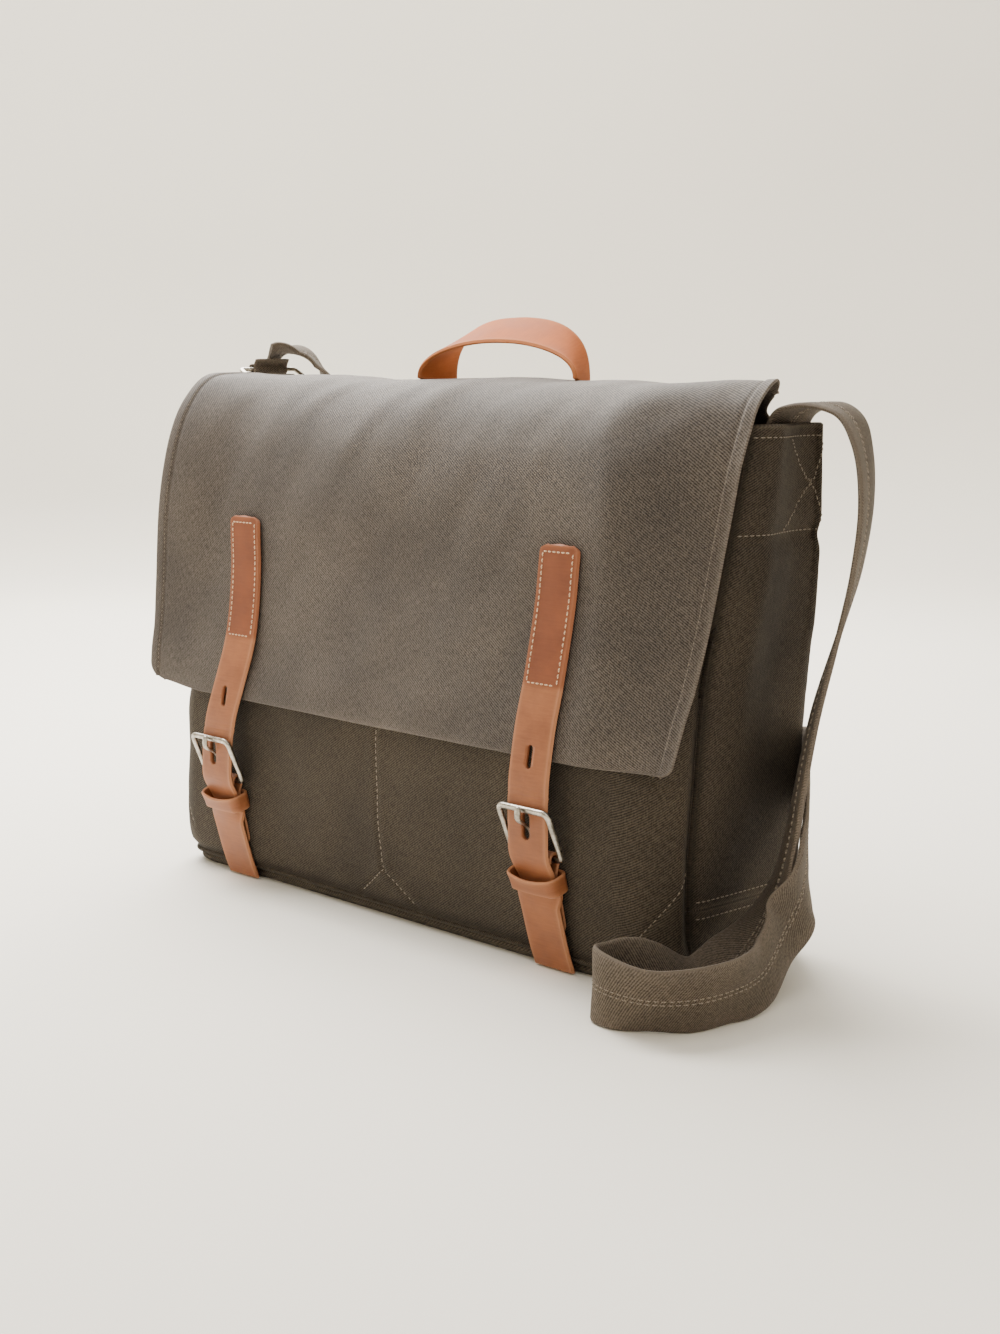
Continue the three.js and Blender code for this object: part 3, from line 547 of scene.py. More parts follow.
def make_stage():
    scene = bpy.context.scene
    lens = bpy.data.cameras.new("camera")
    lens.lens, lens.sensor_width = CAMERA_LENS, 36.0
    scene.camera = place_looking("camera", lens, CAMERA_PLACE, CAMERA_AIM)
    scene.world = bpy.data.worlds.new("studio")
    scene.world.use_nodes = True
    sky = scene.world.node_tree.nodes["Background"].inputs
    sky[0].default_value, sky[1].default_value = (1.0, 0.975, 0.93, 1), 0.55
    for name, place, aim, size, power, color in LIGHTS:
        data = bpy.data.lights.new(name, "AREA")
        data.size, data.energy, data.color = size, power, color
        place_looking(name, data, place, aim)
    paper = cloudy_material("paper_sweep", 1.2, 2.0, (0.3, (0.86, 0.82, 0.735)), (0.7, (0.90, 0.86, 0.775)),
                            Roughness=0.85, Specular_IOR_Level=0.1)
    bend = linspace(0.1, pi / 2, 14)
    r = np.r_[0.9, FLOOR_REACH, FLOOR_REACH + SWEEP_RADIUS * sin(bend), FLOOR_REACH + SWEEP_RADIUS][:, None]
    z = np.r_[0, 0, SWEEP_RADIUS * (1 - cos(bend)), SWEEP_TOP][:, None]
    turn = around(SWEEP_SIDES)
    rings = xyz(r * cos(turn), r * sin(turn), z)
    verts = vstack([rings.reshape(-1, 3) / MM, [[0, 0, 0]]])
    faces = ring_faces(len(r), SWEEP_SIDES)[:-2]
    faces += [[len(verts) - 1, i, (i + 1) % SWEEP_SIDES] for i in range(SWEEP_SIDES)]
    build("sweep", verts, faces, paper, None, 60)


make_stage()


# ---- shoulder strap ----
# A quarter of the webbing's section, as shares of its half width and half thickness.
SECTION = [(-1, 0), (-0.97, -0.62), (-0.9, -0.92), (-0.5, -0.98), (-0.12, -0.82), (-0.06, -0.66), (0, -0.84)]
STRAP_STEPS = 420
LIES_BELOW, HANGS_ABOVE, FLOOR_GAP = 2.5, 6.5, 0.3


def twists():
    """The direction across the strap at each of its steps."""
    rows = array(STRAP_TWIST, float)
    keys, ways, index = rows[:, 0], rows[:, 1:], np.arange(len(STRAP_ROUTE))
    k = clip(np.searchsorted(keys, index) - 1, 0, len(keys) - 2)
    t = ease(keys[k], keys[k + 1], index)[:, None]
    return spline(mix(ways[k], ways[k + 1], t), STRAP_STEPS, uniform=True)


def make_shoulder_strap():
    line = spline(STRAP_ROUTE, STRAP_STEPS)
    tangent = unit(np.gradient(line, axis=0))
    side = twists()
    side = unit(side - (side * tangent).sum(1, keepdims=True) * tangent)
    face = np.cross(tangent, side)
    length = distances(line)
    ripple = 0.4 * (0.35 * sin(length / 23.0) + 0.25 * sin(length / 9.1 + 1))
    half, thick = WEBBING / 2, WEB_THICK / 2
    lower = SECTION + [(-a, b) for a, b in SECTION[-2::-1]]
    a, b = array(lower + [(-a, -b) for a, b in lower[1:-1]]).T
    out = thick * b[None] + ripple[:, None] * (1 - a[None] ** 2)
    rings = line[:, None] + half * a[None, :, None] * side[:, None] + out[..., None] * face[:, None]
    # The loop's lowest part is let down onto the floor, smoothly along the strap.
    low = rings[..., 2].min(1)
    window = np.hanning(27)
    drop = ease(HANGS_ABOVE, LIES_BELOW, low) * (low - FLOOR_GAP)
    drop = minimum(np.convolve(drop, window / window.sum(), "same"), low - 0.1)
    rings[..., 2] -= drop[:, None]
    points = len(a)
    uv = stack([np.tile(a * half, (STRAP_STEPS, 1)) + 60 * (b > 0), np.tile(length[:, None], (1, points))], 2)
    rim = np.tile(np.exp(-(1 - np.abs(a)) * half / 1.6), (STRAP_STEPS, 1)).ravel()
    strap = build("shoulder_strap_webbing", rings.reshape(-1, 3), ring_faces(STRAP_STEPS, points), WEB,
                  uv.reshape(-1, 2), 60, rim)
    finish(strap, "bag", "shoulder_strap")
    runs = []
    for offset in (-0.062, 0.062):
        for way in (-1, 1):
            row = line + half * offset * side + face * (way * thick * 0.68 + ripple[:, None])
            row[:, 2] -= drop
            runs.append((row[6:-4], (face * way)[6:-4]))
    thread = stitches("shoulder_strap_stitches", runs, sunk=0.0)


make_shoulder_strap()


# ---- body ----
FLAT_SHARE = 0.72
GUSSET_FLAT = 0.7
# The stitched darts and the middle seam, each from (side, z) to (side, z), side from -1 to 1.
DARTS = [((-0.93, 66), (-0.76, 26)), ((0.995, 60), (0.742, 20)), ((0, 30), (-0.1, 12)), ((0, 30), (0.1, 12)),
         ((0, 30), (0, 150))]
SIDE_MM = 200.0


def turning(share, flat):
    """The angle turned through a corner that begins after a row's flat share."""
    return clip((share - flat) / (1 - flat), 0, 1) * pi / 2


def front_corner(z):
    return mix(26.0, 72.0, ease(90, 210, z))


def rear_corner(z):
    return mix(20.0, 3.0, ease(100, 220, z))


def front_y(x, z):
    return along(FRONT_FACE, z) + 1.5 * (np.abs(x) / STRAP_X) ** 2


def front_point(u, v):
    """The front cloth's outer face, flat in the middle and rounded into both sides."""
    z = mix(WALL_Z, MOUTH_Z, v)
    side = 2 * u - 1
    corner = front_corner(z)
    flat = HALF_WIDTH - corner
    turn = turning(np.abs(side), FLAT_SHARE)
    x = np.sign(side) * (minimum(np.abs(side) / FLAT_SHARE, 1) * flat + corner * sin(turn))
    around = cos(turn) ** mix(1.0, 2.0, ease(100, 190, z))
    seam = along(FRONT_SEAM, z) - mix(GAP, GAP + 1.6, ease(120, 190, z))
    y = where(turn > 0, mix(seam, front_y(flat, z), around), front_y(x, z))
    return xyz(x, y, z)


def line_distance(x, z, a, b):
    """Distance in the x-z plane from a segment."""
    place, run = x + 1j * z - complex(*a), complex(*b) - complex(*a)
    return abs(place - clip((place * run.conjugate()).real / abs(run) ** 2, 0, 1) * run)


def nearest_row(z, span, grid):
    """The row nearest to a height, in a grid whose rows are even between two heights."""
    return np.round((z - span[0]) / (span[1] - span[0]) * (len(grid) - 1)).astype(int)


def make_front():
    u, v = grid_uv(150, 300)
    grid = front_point(u, v)
    x, _, z = np.moveaxis(grid, -1, 0)
    away = 0.9 * folds(x, z, 55, 2) * ease(0, 30, z) + 0.35 * folds(x, z, 19, 8)
    # The cloth bellies outboard of the right closure, is held in under both, and bulges at the left foot.
    away += 1.6 * bump(x, 158, 16) * bump(z, 70, 55) - 1.6 * bump(x, 128, 13) * bump(z, 60, 60)
    away -= 1.4 * bump(x, -96, 16) * bump(z, 70, 60)
    away += ease(-60, -185, x) * (4.2 * bump(z, 22, 25) - 0.8 * bump(z, 78, 20) - 2.6 * bump(z, 140, 34))
    away += 2.0 * ease(90, 190, x) * bump(z, 45, 40)
    for a, b in DARTS:
        far = line_distance((2 * u - 1) * SIDE_MM, z, (a[0] * SIDE_MM, a[1]), (b[0] * SIDE_MM, b[1]))
        away += 0.4 * bump(far, 0, 6.0) - 0.8 * bump(far, 0, 1.6)
    edge = minimum(0.4 + 0.6 * ease(0, 6, z - WALL_Z), ease(0, 10, MOUTH_Z - z))
    edge = edge * ease(0, 0.03, minimum(u, 1 - u))
    sunk = 3.45 * bump(minimum(*from_ends(lengths(grid, 1), 1)), 0, 5.0) * ease(12, 30, z)
    grid = grid + normals(grid) * (away * edge - sunk)[..., None]
    # The seam values paint shade beside both side seams and along the piped foot.
    sheet("front_cloth", "front_panel", grid, CLOTH, -1, worn=1.0, seam=(0.9, 0.9, 0.85))
    mouth = ((-0.68, MOUTH_Z - 7), (0.68, MOUTH_Z - 7))
    runs = [on_front(grid, linspace(a, b, 60)) for a, b in (*DARTS, mouth)]
    stitches("front_stitches", runs, radius=0.31, sunk=0.08)


def on_front(grid, places):
    """Points and normals of the front cloth at (side, z) places, side from -1 to 1."""
    at, z = places.T
    order = linspace(-1, 1, grid.shape[1])
    row = nearest_row(z, (WALL_Z, MOUTH_Z), grid)
    points, ups = (array([read(x, order, rows[r]) for x, r in zip(at, row)]) for rows in (grid, normals(grid)))
    points[:, 2] = z
    return points, ups


def gusset_grid(side, span, rows, seed):
    """A side cloth's outer face between two heights: flat, then round into the back."""
    u, v = grid_uv(rows, 70)
    z = mix(*span, v)
    radius = rear_corner(z)
    flat_end = BACK_Y - radius
    flat = clip(u / GUSSET_FLAT, 0, 1)
    turn = turning(u, GUSSET_FLAT)
    x = where(u < GUSSET_FLAT, HALF_WIDTH + 2.5 * sin(pi * flat) * ease(0, 120, z),
                 HALF_WIDTH - radius * (1 - cos(turn)))
    y = where(u < GUSSET_FLAT, mix(along(FRONT_SEAM, z) + GAP, flat_end, u / GUSSET_FLAT),
                 flat_end + radius * sin(turn))
    grid = xyz(side * x, y, z)
    away = 0.5 * folds(y, z, 26, seed) + 0.25 * folds(y, z, 11, seed + 1)
    tall = ease(60, 170, z)
    away += tall * (3.4 * bump(u, 0.2, 0.12) - 4.4 * bump(u, 0.56, 0.2) + 1.2 * bump(u, 0.86, 0.1))
    away += 1.8 * bump(z, 200, 18) * bump(u, 0.3, 0.25) - 1.5 * bump(z, 219, 5) * ease(0, 0.08, u)
    away += 1.6 * bump(z, 95, 30) * bump(u, 0.45, 0.3)
    edge = ease(0, 0.06, minimum(u, 1 - u)) * ease(0, 8, z - span[0])
    sunk = 2.2 * bump(from_ends(lengths(grid, 1), 1)[0], 0, 4.5) * ease(12, 30, z)
    return grid + normals(grid) * side * (away * edge - sunk)[..., None]


def shade_hollow(piece):
    """Painted shade down the gusset's hollow, darkening the cloth where its fold lies in shadow."""
    mesh = piece.data
    _, y, z = array([vertex.co for vertex in mesh.vertices], np.float32).T / MM
    shade_and_tone = [item.value for item in mesh.attributes["shade_and_tone"].data]
    front = along(FRONT_SEAM, z)
    hollow = 0.5 * bump((y - front) / (BACK_Y - front), 0.62, 0.3) * ease(225, 205, z) * ease(40, 80, z)
    set_values(mesh, "shade_and_tone", np.maximum(shade_and_tone, hollow * (0.85 + 0.3 * folds(y, z, 30, 52))))


PATCH_ROW, PATCH_TOP = 221.5, 268.0


def make_gussets():
    upper, lower = (CROSS_Z + GAP, GUSSET_TOP), (WALL_Z, CROSS_Z - GAP)
    for side, word in SIDES:
        grid, foot = gusset_grid(side, upper, 130, 20 + side), gusset_grid(side, lower, 24, 30 + side)
        for name, cloth in (("gusset", grid), ("gusset_foot", foot)):
            # The seam values paint shade beside each cloth's seams.
            sheet(f"{name}_cloth_{word}", f"{name}_{word}", cloth, CLOTH, -side, worn=1.0, seam=(0.9, 0.3))
        shade_hollow(bpy.data.objects[f"gusset_cloth_{word}"])
        n = normals(grid) * side
        rows = [nearest_row(z, upper, grid) for z in (GUSSET_TOP - 5, PATCH_ROW, CROSS_Z + 4.5)]
        runs = [(grid[r, 2:67], n[r, 2:67]) for r in rows]
        r = nearest_row(CROSS_Z - 4.5, lower, foot)
        runs.append((foot[r, 2:67], normals(foot)[r, 2:67] * side))
        r = nearest_row(linspace(PATCH_ROW + 0.5, PATCH_TOP, 60), upper, grid)
        for ends in ((0.40, 0.92), (0.92, 0.40)):
            c = np.round(linspace(*ends, 60) * 69).astype(int)
            runs.append((grid[r, c], n[r, c]))
        stitches(f"gusset_stitches_{word}", runs, pitch=3.4, gap=0.9, radius=0.32)
        seam = (grid[0] + foot[-1]) / 2 - n[0] * 0.9
        finish(tube(f"gusset_seam_{word}", seam[1:-1], 1.15, BODY, 8), "bag")


def make_back():
    rows, cols = 70, 140
    u, v = grid_uv(rows, cols)
    z = mix(WALL_Z, HINGE[1] - 6, v)
    half = HALF_WIDTH - rear_corner(z) - GAP
    x = mix(-half, half, u)
    edge = ease(0, 0.05, minimum(u, 1 - u)) * ease(0, 0.06, minimum(v, 1 - v))
    y = BACK_Y + edge * (2.0 * sin(pi * u) * sin(pi * v) + 1.1 * folds(x, z, 60, 41)
                         + 0.3 * folds(x, z, 20, 44))
    grid = xyz(x, y, z)
    sheet("back_cloth", "back_panel", grid, CLOTH, 1)
    n = -normals(grid)
    runs = [(grid[r, 2:-2], n[r, 2:-2]) for r in (1, 66)]
    runs += [(grid[2:-2, c], n[2:-2, c]) for c in (2, cols - 3)]
    stitches("back_stitches", runs)


# The base's rings from its middle out and up to the piping: how far outside the outline, and z.
BASE_RINGS = ((-60, 0.35), (-30, 0.25), (-6, 0.0), (-2.6, 0.25), (-0.9, 1.4), (-0.1, 3.0), (-0.5, 4.6), (-1.4, 5.5))
BASE_CORNER, BASE_STEPS, OFFSET_LIMIT = 18, 240, -14


def base_outline(grow, count):
    front, back = along(FRONT_FACE, 4) + 2 - grow, BACK_Y - 3 + grow
    return even(rounded_box(HALF_WIDTH - 3 + grow, front, back, (BASE_CORNER,) * 2, 12), count, closed=True)


def make_base():
    centre = base_outline(0, BASE_STEPS).mean(0)
    rings = []
    for grow, z in BASE_RINGS:
        ring = base_outline(max(grow, OFFSET_LIMIT), BASE_STEPS)
        if grow < OFFSET_LIMIT:
            ring = centre + (ring - centre) * (1 + (grow - OFFSET_LIMIT) / 70)
        rings.append(xyz(*ring.T, z))
    sheet("base_cloth", "base_panel", array(rings), 1.2, -1, wrap=True)
    inner = rings[0]
    middle = build("base_middle", vstack([inner + [0, 0, 0.02], inner + [0, 0, 1.0]]),
                   ring_faces(2, BASE_STEPS), BODY, vstack([inner[:, :2]] * 2), 30)
    finish(middle, "bag")
    line = xyz(*base_outline(1.1, 320).T, PIPING_Z)
    finish(tube("piping_cord", line, 1.6, BODY, closed=True), "bag", "base_piping")


make_front()
make_gussets()
make_back()
make_base()


# ---- inside ----
LINING_CLOTH = 0.8


def sack_ring(z, inset):
    half = HALF_WIDTH - CLOTH - mix(2.4, 9, ease(190, 222, z)) - inset
    front = along(FRONT_FACE, z) + CLOTH + 5.8 + inset
    radii = (front_corner(z) - 6 - inset, 16 - inset)
    ring = even(rounded_box(half, front, BACK_Y - CLOTH - 1 - inset, radii, 10), 160, closed=True)
    return xyz(*ring.T, z)


def make_inside():
    floor = WALL_Z + 2.5
    insets = [(floor, 5), (floor + 2, 1.5), (floor + 6, 0)] + [(z, 0) for z in linspace(26, MOUTH_Z - 3, 30)]
    grid = array([sack_ring(z, inset) for z, inset in insets])
    middle = grid[0].mean(0)
    grid = np.concatenate([[middle + (grid[0] - middle) * share for share in (0.02, 0.5)], grid])
    sheet("lining_sack", "lining", grid, LINING_CLOTH, -1, LINING, wrap=True)
    u, v = grid_uv(14, 80)
    x, z = mix(-118, 118, u), mix(MOUTH_Z - 24, MOUTH_Z - 1, v)
    face = xyz(x, front_y(x, z) + CLOTH + 1.2, z)
    sheet("mouth_facing_cloth", "mouth_facing", face, 1.0, -1)
    u, v = grid_uv(50, 110)
    z = mix(70, 205, v)
    open_by = 7 * ease(0, 0.12, 1 - np.abs(2 * u - 1)) * ease(70, 90, z)
    wall = BACK_Y - CLOTH - 1 - LINING_CLOTH - GAP
    pocket = xyz(mix(-110, 110, u), wall - open_by, z)
    sheet("slip_pocket", "inner_pocket", pocket, LINING_CLOTH, 1, LINING)
    stitches("slip_pocket_stitches", [(pocket[-3], normals(pocket)[-3])], slot="lining_cloth", pitch=4.0,
             radius=0.42, sunk=0.1)
    u, v = grid_uv(16, 16)
    for side, word in SIDES:
        x = side * (WEBBING_X - WEB_THICK / 2 - GAP)
        patch = xyz(x, mix(ANCHOR_Y - 16, ANCHOR_Y + 12, u), mix(258, 226, v))
        sheet(f"anchor_patch_cloth_{word}", f"anchor_patch_{word}", patch, 1.0, side)


make_inside()
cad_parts["base_board"].data.materials.clear()
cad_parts["base_board"].data.materials.append(BOARD)


# ---- flap ----
# The flap's curves have 15 points each, so t runs from 0 at the hinge to 1 at the hem in 14 parts.
PARTS, FINE = 14, 1401
CURVES = [spline(curve, FINE, uniform=True) for curve in (FLAP_MIDDLE, FLAP_LEFT, FLAP_RIGHT)]
FLAP_CLOTH, FLAP_RUN = 1.6, 259
FLAP_ROWS, TOWARDS_HEM = 260, 1.12
SPLIT_T = 3 / PARTS


def flap_point(side, t):
    """The flap's outer face before its folds: its middle curve, drawn to the side curves at its ends."""
    narrow = mix(0.9, 1.0, ease(1 / PARTS, 4.2 / PARTS, t))
    x = side * FLAP_HALF * narrow
    middle, left, right = (read(clip(t, 0, 1), linspace(0, 1, FINE), curve) for curve in CURVES)
    start = mix(mix(165.0, 136.0, ease(3 / PARTS, 5 / PARTS, t)), 152.0, ease(6 / PARTS, 9 / PARTS, t))
    w = ease(start, FLAP_HALF, np.abs(x) / narrow)[..., None]
    y, z = np.moveaxis(mix(middle, where(x[..., None] < 0, left, right), w), -1, 0)
    return xyz(x, y, z)


def flap_rows(t0, t1, rows):
    """Steps down the flap, closer together towards the hem."""
    return t1 - (t1 - t0) * (1 - linspace(0, 1, rows)) ** TOWARDS_HEM


def flap_grid(rows, cols, t0, t1, out=0.0, edge=1.0):
    """The flap's outer face, with round hem corners and the slack folds of washed canvas."""
    t = flap_rows(t0, t1, rows)
    hem = ((t1 - t) * FLAP_RUN)[:, None]
    u = linspace(-1, 1, cols)
    u = (np.sign(u) * (1 - (1 - np.abs(u)) ** 1.08))[None, :]
    side = u * (1 - corner_cut(hem, where(u < 0, 12.0, 5.0)) / FLAP_HALF) * edge
    grid = flap_point(side, t[:, None])
    n = -normals(grid)
    x, s = grid[..., 0], t[:, None] * FLAP_RUN
    calm = ease(0, 60, s) * 0.8 + 0.2
    away = calm * (0.7 + 1.9 * folds(x, s, 75, 71) + 0.6 * folds(x, s, 26, 75))
    away += 0.9 * bump(s, 150, 60) * (bump(x, -40, 60) - 0.8 * bump(x, 60, 40))
    away -= 2.2 * bump(x, -131, 40) * bump(s, 150, 32)
    away += 1.7 * calm * folds(x + 0.6 * s, (s - 0.4 * x) * 0.35, 34, 79) * bump(s, 110, 75)
    for sx in (-STRAP_X, STRAP_X):
        away -= away * bump(x, sx, 20) * ease(160, 175, s) * 0.9
    inboard = FLAP_HALF - np.abs(x)
    away += 0.7 * (1 - ease(5.8, 7.0, inboard)) - 0.5 * bump(inboard, 7.8, 1.0)
    return grid + n * (away * ease(0, 0.02, t)[:, None])[..., None] + n * out


def make_flap():
    whole = flap_grid(FLAP_ROWS, 330, 0.0, 1.0)
    t = flap_rows(0.0, 1.0, FLAP_ROWS)
    cut_row, seam_row = (int(np.searchsorted(t, at)) for at in (SPLIT_T, 0.5 / PARTS))
    rear = sheet("flap_rear_cloth", "flap_top", whole[:cut_row + 1], FLAP_CLOTH, 1, FLAP, None, worn=1.5)
    front = sheet("flap_front_cloth", "flap_front", whole[cut_row:], FLAP_CLOTH, 1, FLAP, None, worn=1.5,
                  hem=6.6)
    inner = flap_grid(120, 200, 5.06 / PARTS, 0.994, -2.5, 0.988)
    lining = sheet("flap_lining", "flap_facing", inner, 1.2, 1, LINING, None)
    n = -normals(whole)
    runs = []
    for sign in (-1, 1):
        places = [(r, sign * (abs(whole[r, -1, 0]) - 6.5)) for r in range(cut_row + 2, FLAP_ROWS - 8)]
        runs.append([array([read(at, whole[r, :, 0], rows[r]) for r, at in places]) for rows in (whole, n)])
    hem = stitches("flap_hem_stitches", runs, TAUPE, None, "flap_canvas", 2.6, 0.8, 0.2, 0.1)
    seam = stitches("flap_seam_stitches", [(whole[seam_row, 4:-4], n[seam_row, 4:-4])], TAUPE, None, "flap_canvas")
    for piece in (rear, seam):
        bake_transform(piece)
    for piece in (front, lining, hem):
        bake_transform(piece)


make_flap()


# ---- handle ----
def make_handle():
    u, v = grid_uv(15, 150)
    # The strip's rear edge (v = 0) stands lower and wider than its front edge.
    centre, half = mix(5.0, -3.0, v), mix(HANDLE_SPAN + 3, HANDLE_SPAN - 6, v)
    foot, rise = mix(296.3, 291.3, v), mix(21.0, 38.5, v)
    angle = pi * (1 - u)
    c = cos(angle)
    x = centre + half * np.sign(c) * np.abs(c) ** mix(0.98, 0.85, v)
    y = HANDLE_Y + (v - 0.5) * HANDLE_WIDTH
    z = foot + rise * sin(angle) ** mix(0.92, 0.66, v) + 0.25 * folds(x, y, 22, 90)
    sheet("handle_strip", "handle", xyz(x, y, z), LEATHER, -1, HANDLE_TAN, "flap_rear", worn=1.2)
    u, v = grid_uv(12, 60)
    under = flap_point(mix(-0.36, 0.36, u), mix(2.15 / PARTS, 3.9 / PARTS, v))
    under = under + normals(under) * 2.0
    sheet("handle_backing_cloth", "handle_backing", under, 1.0, 1, BODY, "flap_rear")


make_handle()


# ---- leather closures ----
LEAN = 13.5
PIN_SLOT_Z, UPPER_SLOT_Z, CREASES_Z = 78, 112.5, (93, 96)
STITCH_INSET = 2.6


def ribbon(line, x, half, columns):
    """A grid across x, with a half width at each step, along the y and z of a line."""
    grid = np.empty((len(line), columns, 3))
    grid[..., 0] = x + linspace(-1, 1, columns) * np.reshape(half, (-1, 1))
    grid[..., 1:] = line[:, None, 1:]
    return grid


def strap_line(side, count):
    """The closure strap's run over the flap and down to its buckle, at one of its edges."""
    t = np.arange(9, 13.01, 0.5) / PARTS
    d = 1e-3
    s = np.full_like(t, side)
    p = flap_point(s, t)
    across = flap_point(s + d, t) - flap_point(s - d, t)
    down = flap_point(s, t + d) - flap_point(s, t - d)
    p = p + unit(np.cross(down, across)) * (LEATHER + 0.9)
    return from_side([(y, z) for _, y, z in p] + STRAP_TAIL, count)


def cut_holes(obj, cutters):
    for cutter in cutters:
        mod = obj.modifiers.new("hole", "BOOLEAN")
        mod.operation, mod.object, mod.solver = "DIFFERENCE", cutter, "EXACT"
    bpy.context.view_layer.update()
    mesh = bpy.data.meshes.new_from_object(obj.evaluated_get(bpy.context.evaluated_depsgraph_get()))
    obj.modifiers.clear()
    obj.data = mesh
    for cutter in cutters:
        bpy.data.objects.remove(cutter)


def slot_cutter(x, y, z, width, height, depth=16, points=24):
    """A block with half-round ends, which cuts an upright slot through the leather."""
    a = around(points)
    r = width / 2
    pz = z + r * sin(a) + np.sign(sin(a) + 1e-9) * (height / 2 - r)
    near = xyz(x + r * cos(a), y - depth / 2, pz)
    faces = [face[::-1] for face in ring_faces(2, points)]
    return build("cutter", vstack([near, near + [0, depth, 0]]), faces, TAN)


def lean(word, length):
    """The left strap hangs a little askew between its seam and its buckle."""
    shift = LEAN * bump(length, 74, where(length < 74, 66, 48))
    return shift * (word == "left")


def make_flap_strap(word):
    rows, cols = 160, 15
    x0 = CLOSURE_X[word]
    left, right = (strap_line((x0 + sign * STRAP_WIDTH / 2) / FLAP_HALF, rows) for sign in (-1, 1))
    u = linspace(0, 1, cols)
    length = distances(left)
    shift = lean(word, length)
    half = STRAP_WIDTH / 2 - corner_cut(length, 3.5) - 0.8 * corner_cut(length[-1] - length, 10)
    grid = ribbon(left, x0 + shift[:, None], half, cols)
    grid[..., 1:] = mix(left[:, None, 1:], right[:, None, 1:], u[:, None])
    n = -normals(grid)
    crown = 0.35 * (1 - (2 * u - 1) ** 2)
    crease = 0.4 * bump(grid[..., 2], CREASES_Z[0], 0.9) + 0.25 * bump(grid[..., 2], CREASES_Z[1], 0.8)
    grid = grid + n * (crown - crease)[..., None]
    strap = sheet(f"flap_strap_leather_{word}", None, grid, LEATHER, 1, TAN, worn=0.9)
    # The stitched part is darker than the part below it.
    heights = array([v.co.z for v in strap.data.vertices]) / MM
    box_end = np.interp(STITCHED, length, left[:, 2])
    set_values(strap.data, "shade_and_tone", 0.9 * ease(box_end - 1.5, box_end + 1.5, heights))
    upper_x = x0 + float(lean(word, np.interp(-UPPER_SLOT_Z, -left[:, 2], length)))
    cut_holes(strap, [slot_cutter(upper_x, -76, UPPER_SLOT_Z, 4.2, 12), slot_cutter(x0, -77, PIN_SLOT_Z, 5.6, 14)])
    finish(strap, "flap_drop", f"flap_strap_{word}")
    first, last = (int(np.searchsorted(length, at)) for at in (STITCH_INSET, STITCHED))
    reach = STRAP_WIDTH / 2 - STITCH_INSET
    runs = [[(r, x0 + sign * reach + shift[r]) for r in range(first, last)] for sign in (-1, 1)]
    runs += [[(r, x) for x in linspace(x0 - reach, x0 + reach, 20) + shift[r]] for r in (first, last - 1)]
    runs = [(array([read(x, grid[r, :, 0], grid[r]) for r, x in run]),
             array([n[r, cols // 2] for r, _ in run])) for run in runs]
    stitches(f"flap_strap_stitches_{word}", runs, CREAM, "flap_drop", "strap_leather", 3.1, 0.9, 0.42)


def rounded_rectangle(width, height, radius, count):
    return even(rounded_box(width / 2, -height / 2, height / 2, (radius,) * 2, 8), count, closed=True)


def make_buckle(word):
    x0 = CLOSURE_X[word]
    hy, hz = HEEL_BAR
    tilt = math.radians(FRAME_TILT)
    bar = FRAME_HEIGHT - FRAME_WIRE
    up = array([0, -math.sin(tilt), math.cos(tilt)])
    out = (0, -math.cos(tilt), -math.sin(tilt))
    ring = rounded_rectangle(FRAME_WIDTH - FRAME_WIRE, bar, 3.6, 96)
    line = array([x0, hy, hz]) + np.outer(ring[:, 0], [1, 0, 0]) + np.outer(ring[:, 1] + bar / 2, up)
    radius = where(ring[:, 1] < -bar / 2 + 0.5, 1.45, FRAME_WIRE / 2)
    metal = tube(f"buckle_frame_metal_{word}", line, radius, NICKEL, 14, closed=True, up=out, flat=0.86)
    finish(metal, f"{word}_buckle", f"buckle_frame_{word}")
    ty, tz = hy + up[1] * bar, hz + up[2] * bar
    shank = from_side([(hy - 0.4, hz + 3.0), (hy - 2.9, hz + 9), (hy - 7.2, hz + 16), (ty - 3.0, tz - 4.5),
                       (ty - 3.1, tz + 1.9)], 40, 80) + [x0, 0, 0]
    s = linspace(0, 1, 40)
    width = mix(1.15, 1.95, ease(0.45, 0.85, s))
    width = width * where(s > 0.93, np.sqrt(clip(1 - ((s - 0.93) / 0.075) ** 2, 0.05, 1)), 1)
    prong = tube(f"buckle_prong_metal_{word}", shank, width, NICKEL, 12, up=(0, -1, 0), flat=0.62)
    eye_line = [(x0, y, z) for y, z in arc(HEEL_BAR, 3.0, 0, 345, 15)]
    eye = tube(f"buckle_prong_eye_{word}", eye_line, 0.75, NICKEL, 8, closed=True, up=(1, 0, 0), flat=2.4)
    finish(prong, f"{word}_prong", f"buckle_prong_{word}")
    finish(eye, f"{word}_prong")


def arc(centre, radius, start, end, step):
    a = np.radians(linspace(start, end, round(abs(end - start) / step) + 1))
    return [(centre[0] + radius * math.cos(t), centre[1] + radius * math.sin(t)) for t in a]


def make_tab(word):
    x0 = CLOSURE_X[word]
    line = [(-61, 22), (-63.4, 34), (-66.2, 45), (-68.2, 53.5)] + arc(HEEL_BAR, BAR_EYE + 1.4, -20, 200, 20)
    width = 12.0 - 0.12 * clip(6 - np.arange(70), 0, None) ** 2
    grid = ribbon(from_side(line, 70, 400), x0, width, 15)
    tab = sheet(f"buckle_tab_leather_{word}", None, grid, 1.4, 1, TAN, worn=0.9)
    cut_holes(tab, [slot_cutter(x0, HEEL_BAR[0] - 3, HEEL_BAR[1] + 4, 5.2, 16)])
    finish(tab, "bag", f"buckle_tab_{word}")


KEEPER_PLACE, KEEPER_TILT = (-69.8, 49.4), 16
KEEPER_HALF_HEIGHT = 4.6


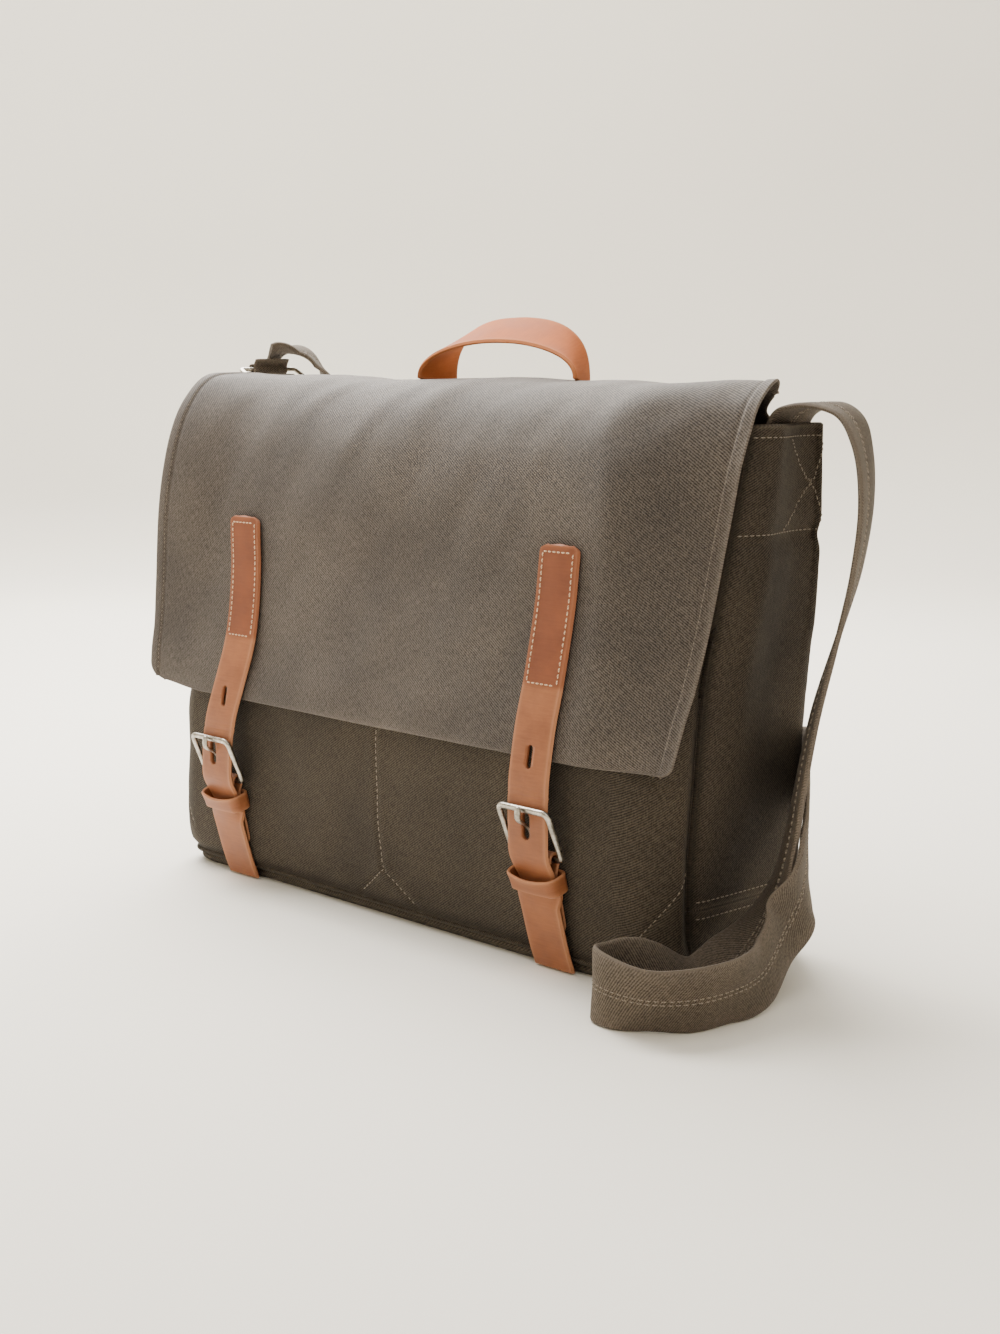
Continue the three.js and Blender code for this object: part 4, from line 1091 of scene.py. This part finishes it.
def make_keeper(word):
    """The lower strap widens at its top and wraps back into the keeper loop."""
    x0 = CLOSURE_X[word]
    tilt = math.radians(KEEPER_TILT)
    ring = rounded_rectangle(STRAP_WIDTH + 4.2, 9.4, 3.2, 80)
    rise = linspace(0, 1, 13)[:, None]
    lip = 0.9 * rise**2
    front = ring[:, 1] < 0
    belly = where(front, 1.6 * cos(ring[:, 0] / 16 * pi / 2), 0)
    out = ring[:, 1] - belly * mix(0.4, 1.25, rise) - where(front, lip * 0.8, 0)
    up = mix(-KEEPER_HALF_HEIGHT, KEEPER_HALF_HEIGHT, rise) - belly * rise
    grid = xyz(x0 + ring[:, 0] * (1 + 0.02 * lip), KEEPER_PLACE[0] + out * math.cos(tilt) - up * math.sin(tilt),
               KEEPER_PLACE[1] + out * math.sin(tilt) + up * math.cos(tilt))
    sheet(f"keeper_leather_{word}", f"keeper_{word}", grid, 1.6, 1, TAN, wrap=True, worn=0.8)
    u, down = linspace(-1, 1, 17), linspace(0, 1, 60)[:, None]
    line = from_side([(-71.9, 43.8), (-67.2, 27), (-62.4, 11), (-58.6, 1)], 60, 200)
    strip = ribbon(line, x0, STRAP_WIDTH / 2 + 2.6 * (1 - ease(0, 0.22, down)), 17)
    strip[..., 1] += 2.2 * (1 - ease(0, 0.2, down)) * np.abs(u) ** 6 - 1.5 * (1 - ease(0, 0.35, down)) * (1 - u**2)
    sheet(f"lower_strap_leather_{word}", f"lower_strap_{word}", strip, LEATHER, 1, TAN, worn=0.9)


for _, word in SIDES:
    make_flap_strap(word)
    make_buckle(word)
    make_tab(word)
    make_keeper(word)


# ---- ring, its tab and the strap's folded end ----
RING_CLOTH = 1.3


def strip_along_y(name, node, line, y, width, inward, body, count=80):
    """A strip of webbing across y, along a line of (x, z) places."""
    grid = ribbon(from_side(line, count), y, width / 2, 15)[..., [1, 0, 2]]
    sheet(name, node, grid, RING_CLOTH, inward, WEB, body, worn=1.6)


def make_ring():
    angle = math.radians(RING_LEAN)
    reach = RING_SIZE[0] - RING_WIRE
    y = ANCHOR_Y + 3
    outline = rounded_rectangle(reach, RING_SIZE[1] - RING_WIRE, 2.4, 120)
    along_ring = array([-math.cos(angle), 0, math.sin(angle)])
    line = (array([RING_BAR[0], y, RING_BAR[1]]) + np.outer(outline[:, 0] + reach / 2, along_ring)
            + np.outer(outline[:, 1], [0, 1, 0]))
    ring = tube("strap_ring_metal", line, RING_WIRE / 2, NICKEL, 12, closed=True,
                up=(math.sin(angle), 0, math.cos(angle)), flat=0.9)
    finish(ring, "ring", "strap_ring")
    far = (RING_BAR[0] + along_ring[0] * reach, RING_BAR[1] + along_ring[2] * reach)
    fold = arc(far, BAR_EYE + 1.1, 100, 390, 18) + [(far[0] + 5.4, far[1] + 6.0)]
    strip_along_y("strap_end_fold", "strap_end", fold, y, WEBBING - 12, -1, "ring")
    x = -WEBBING_X - 0.6
    rise = [(x, 230), (x, 250), (x, 268), (x - 2, 278), (x - 8, 285.5)] + arc(RING_BAR, BAR_EYE + 1.0, 235, -30, 18)
    strip_along_y("strap_tab_webbing", "strap_tab", rise, ANCHOR_Y + 1, WEBBING - 13, 1, "bag", 120)


make_ring()
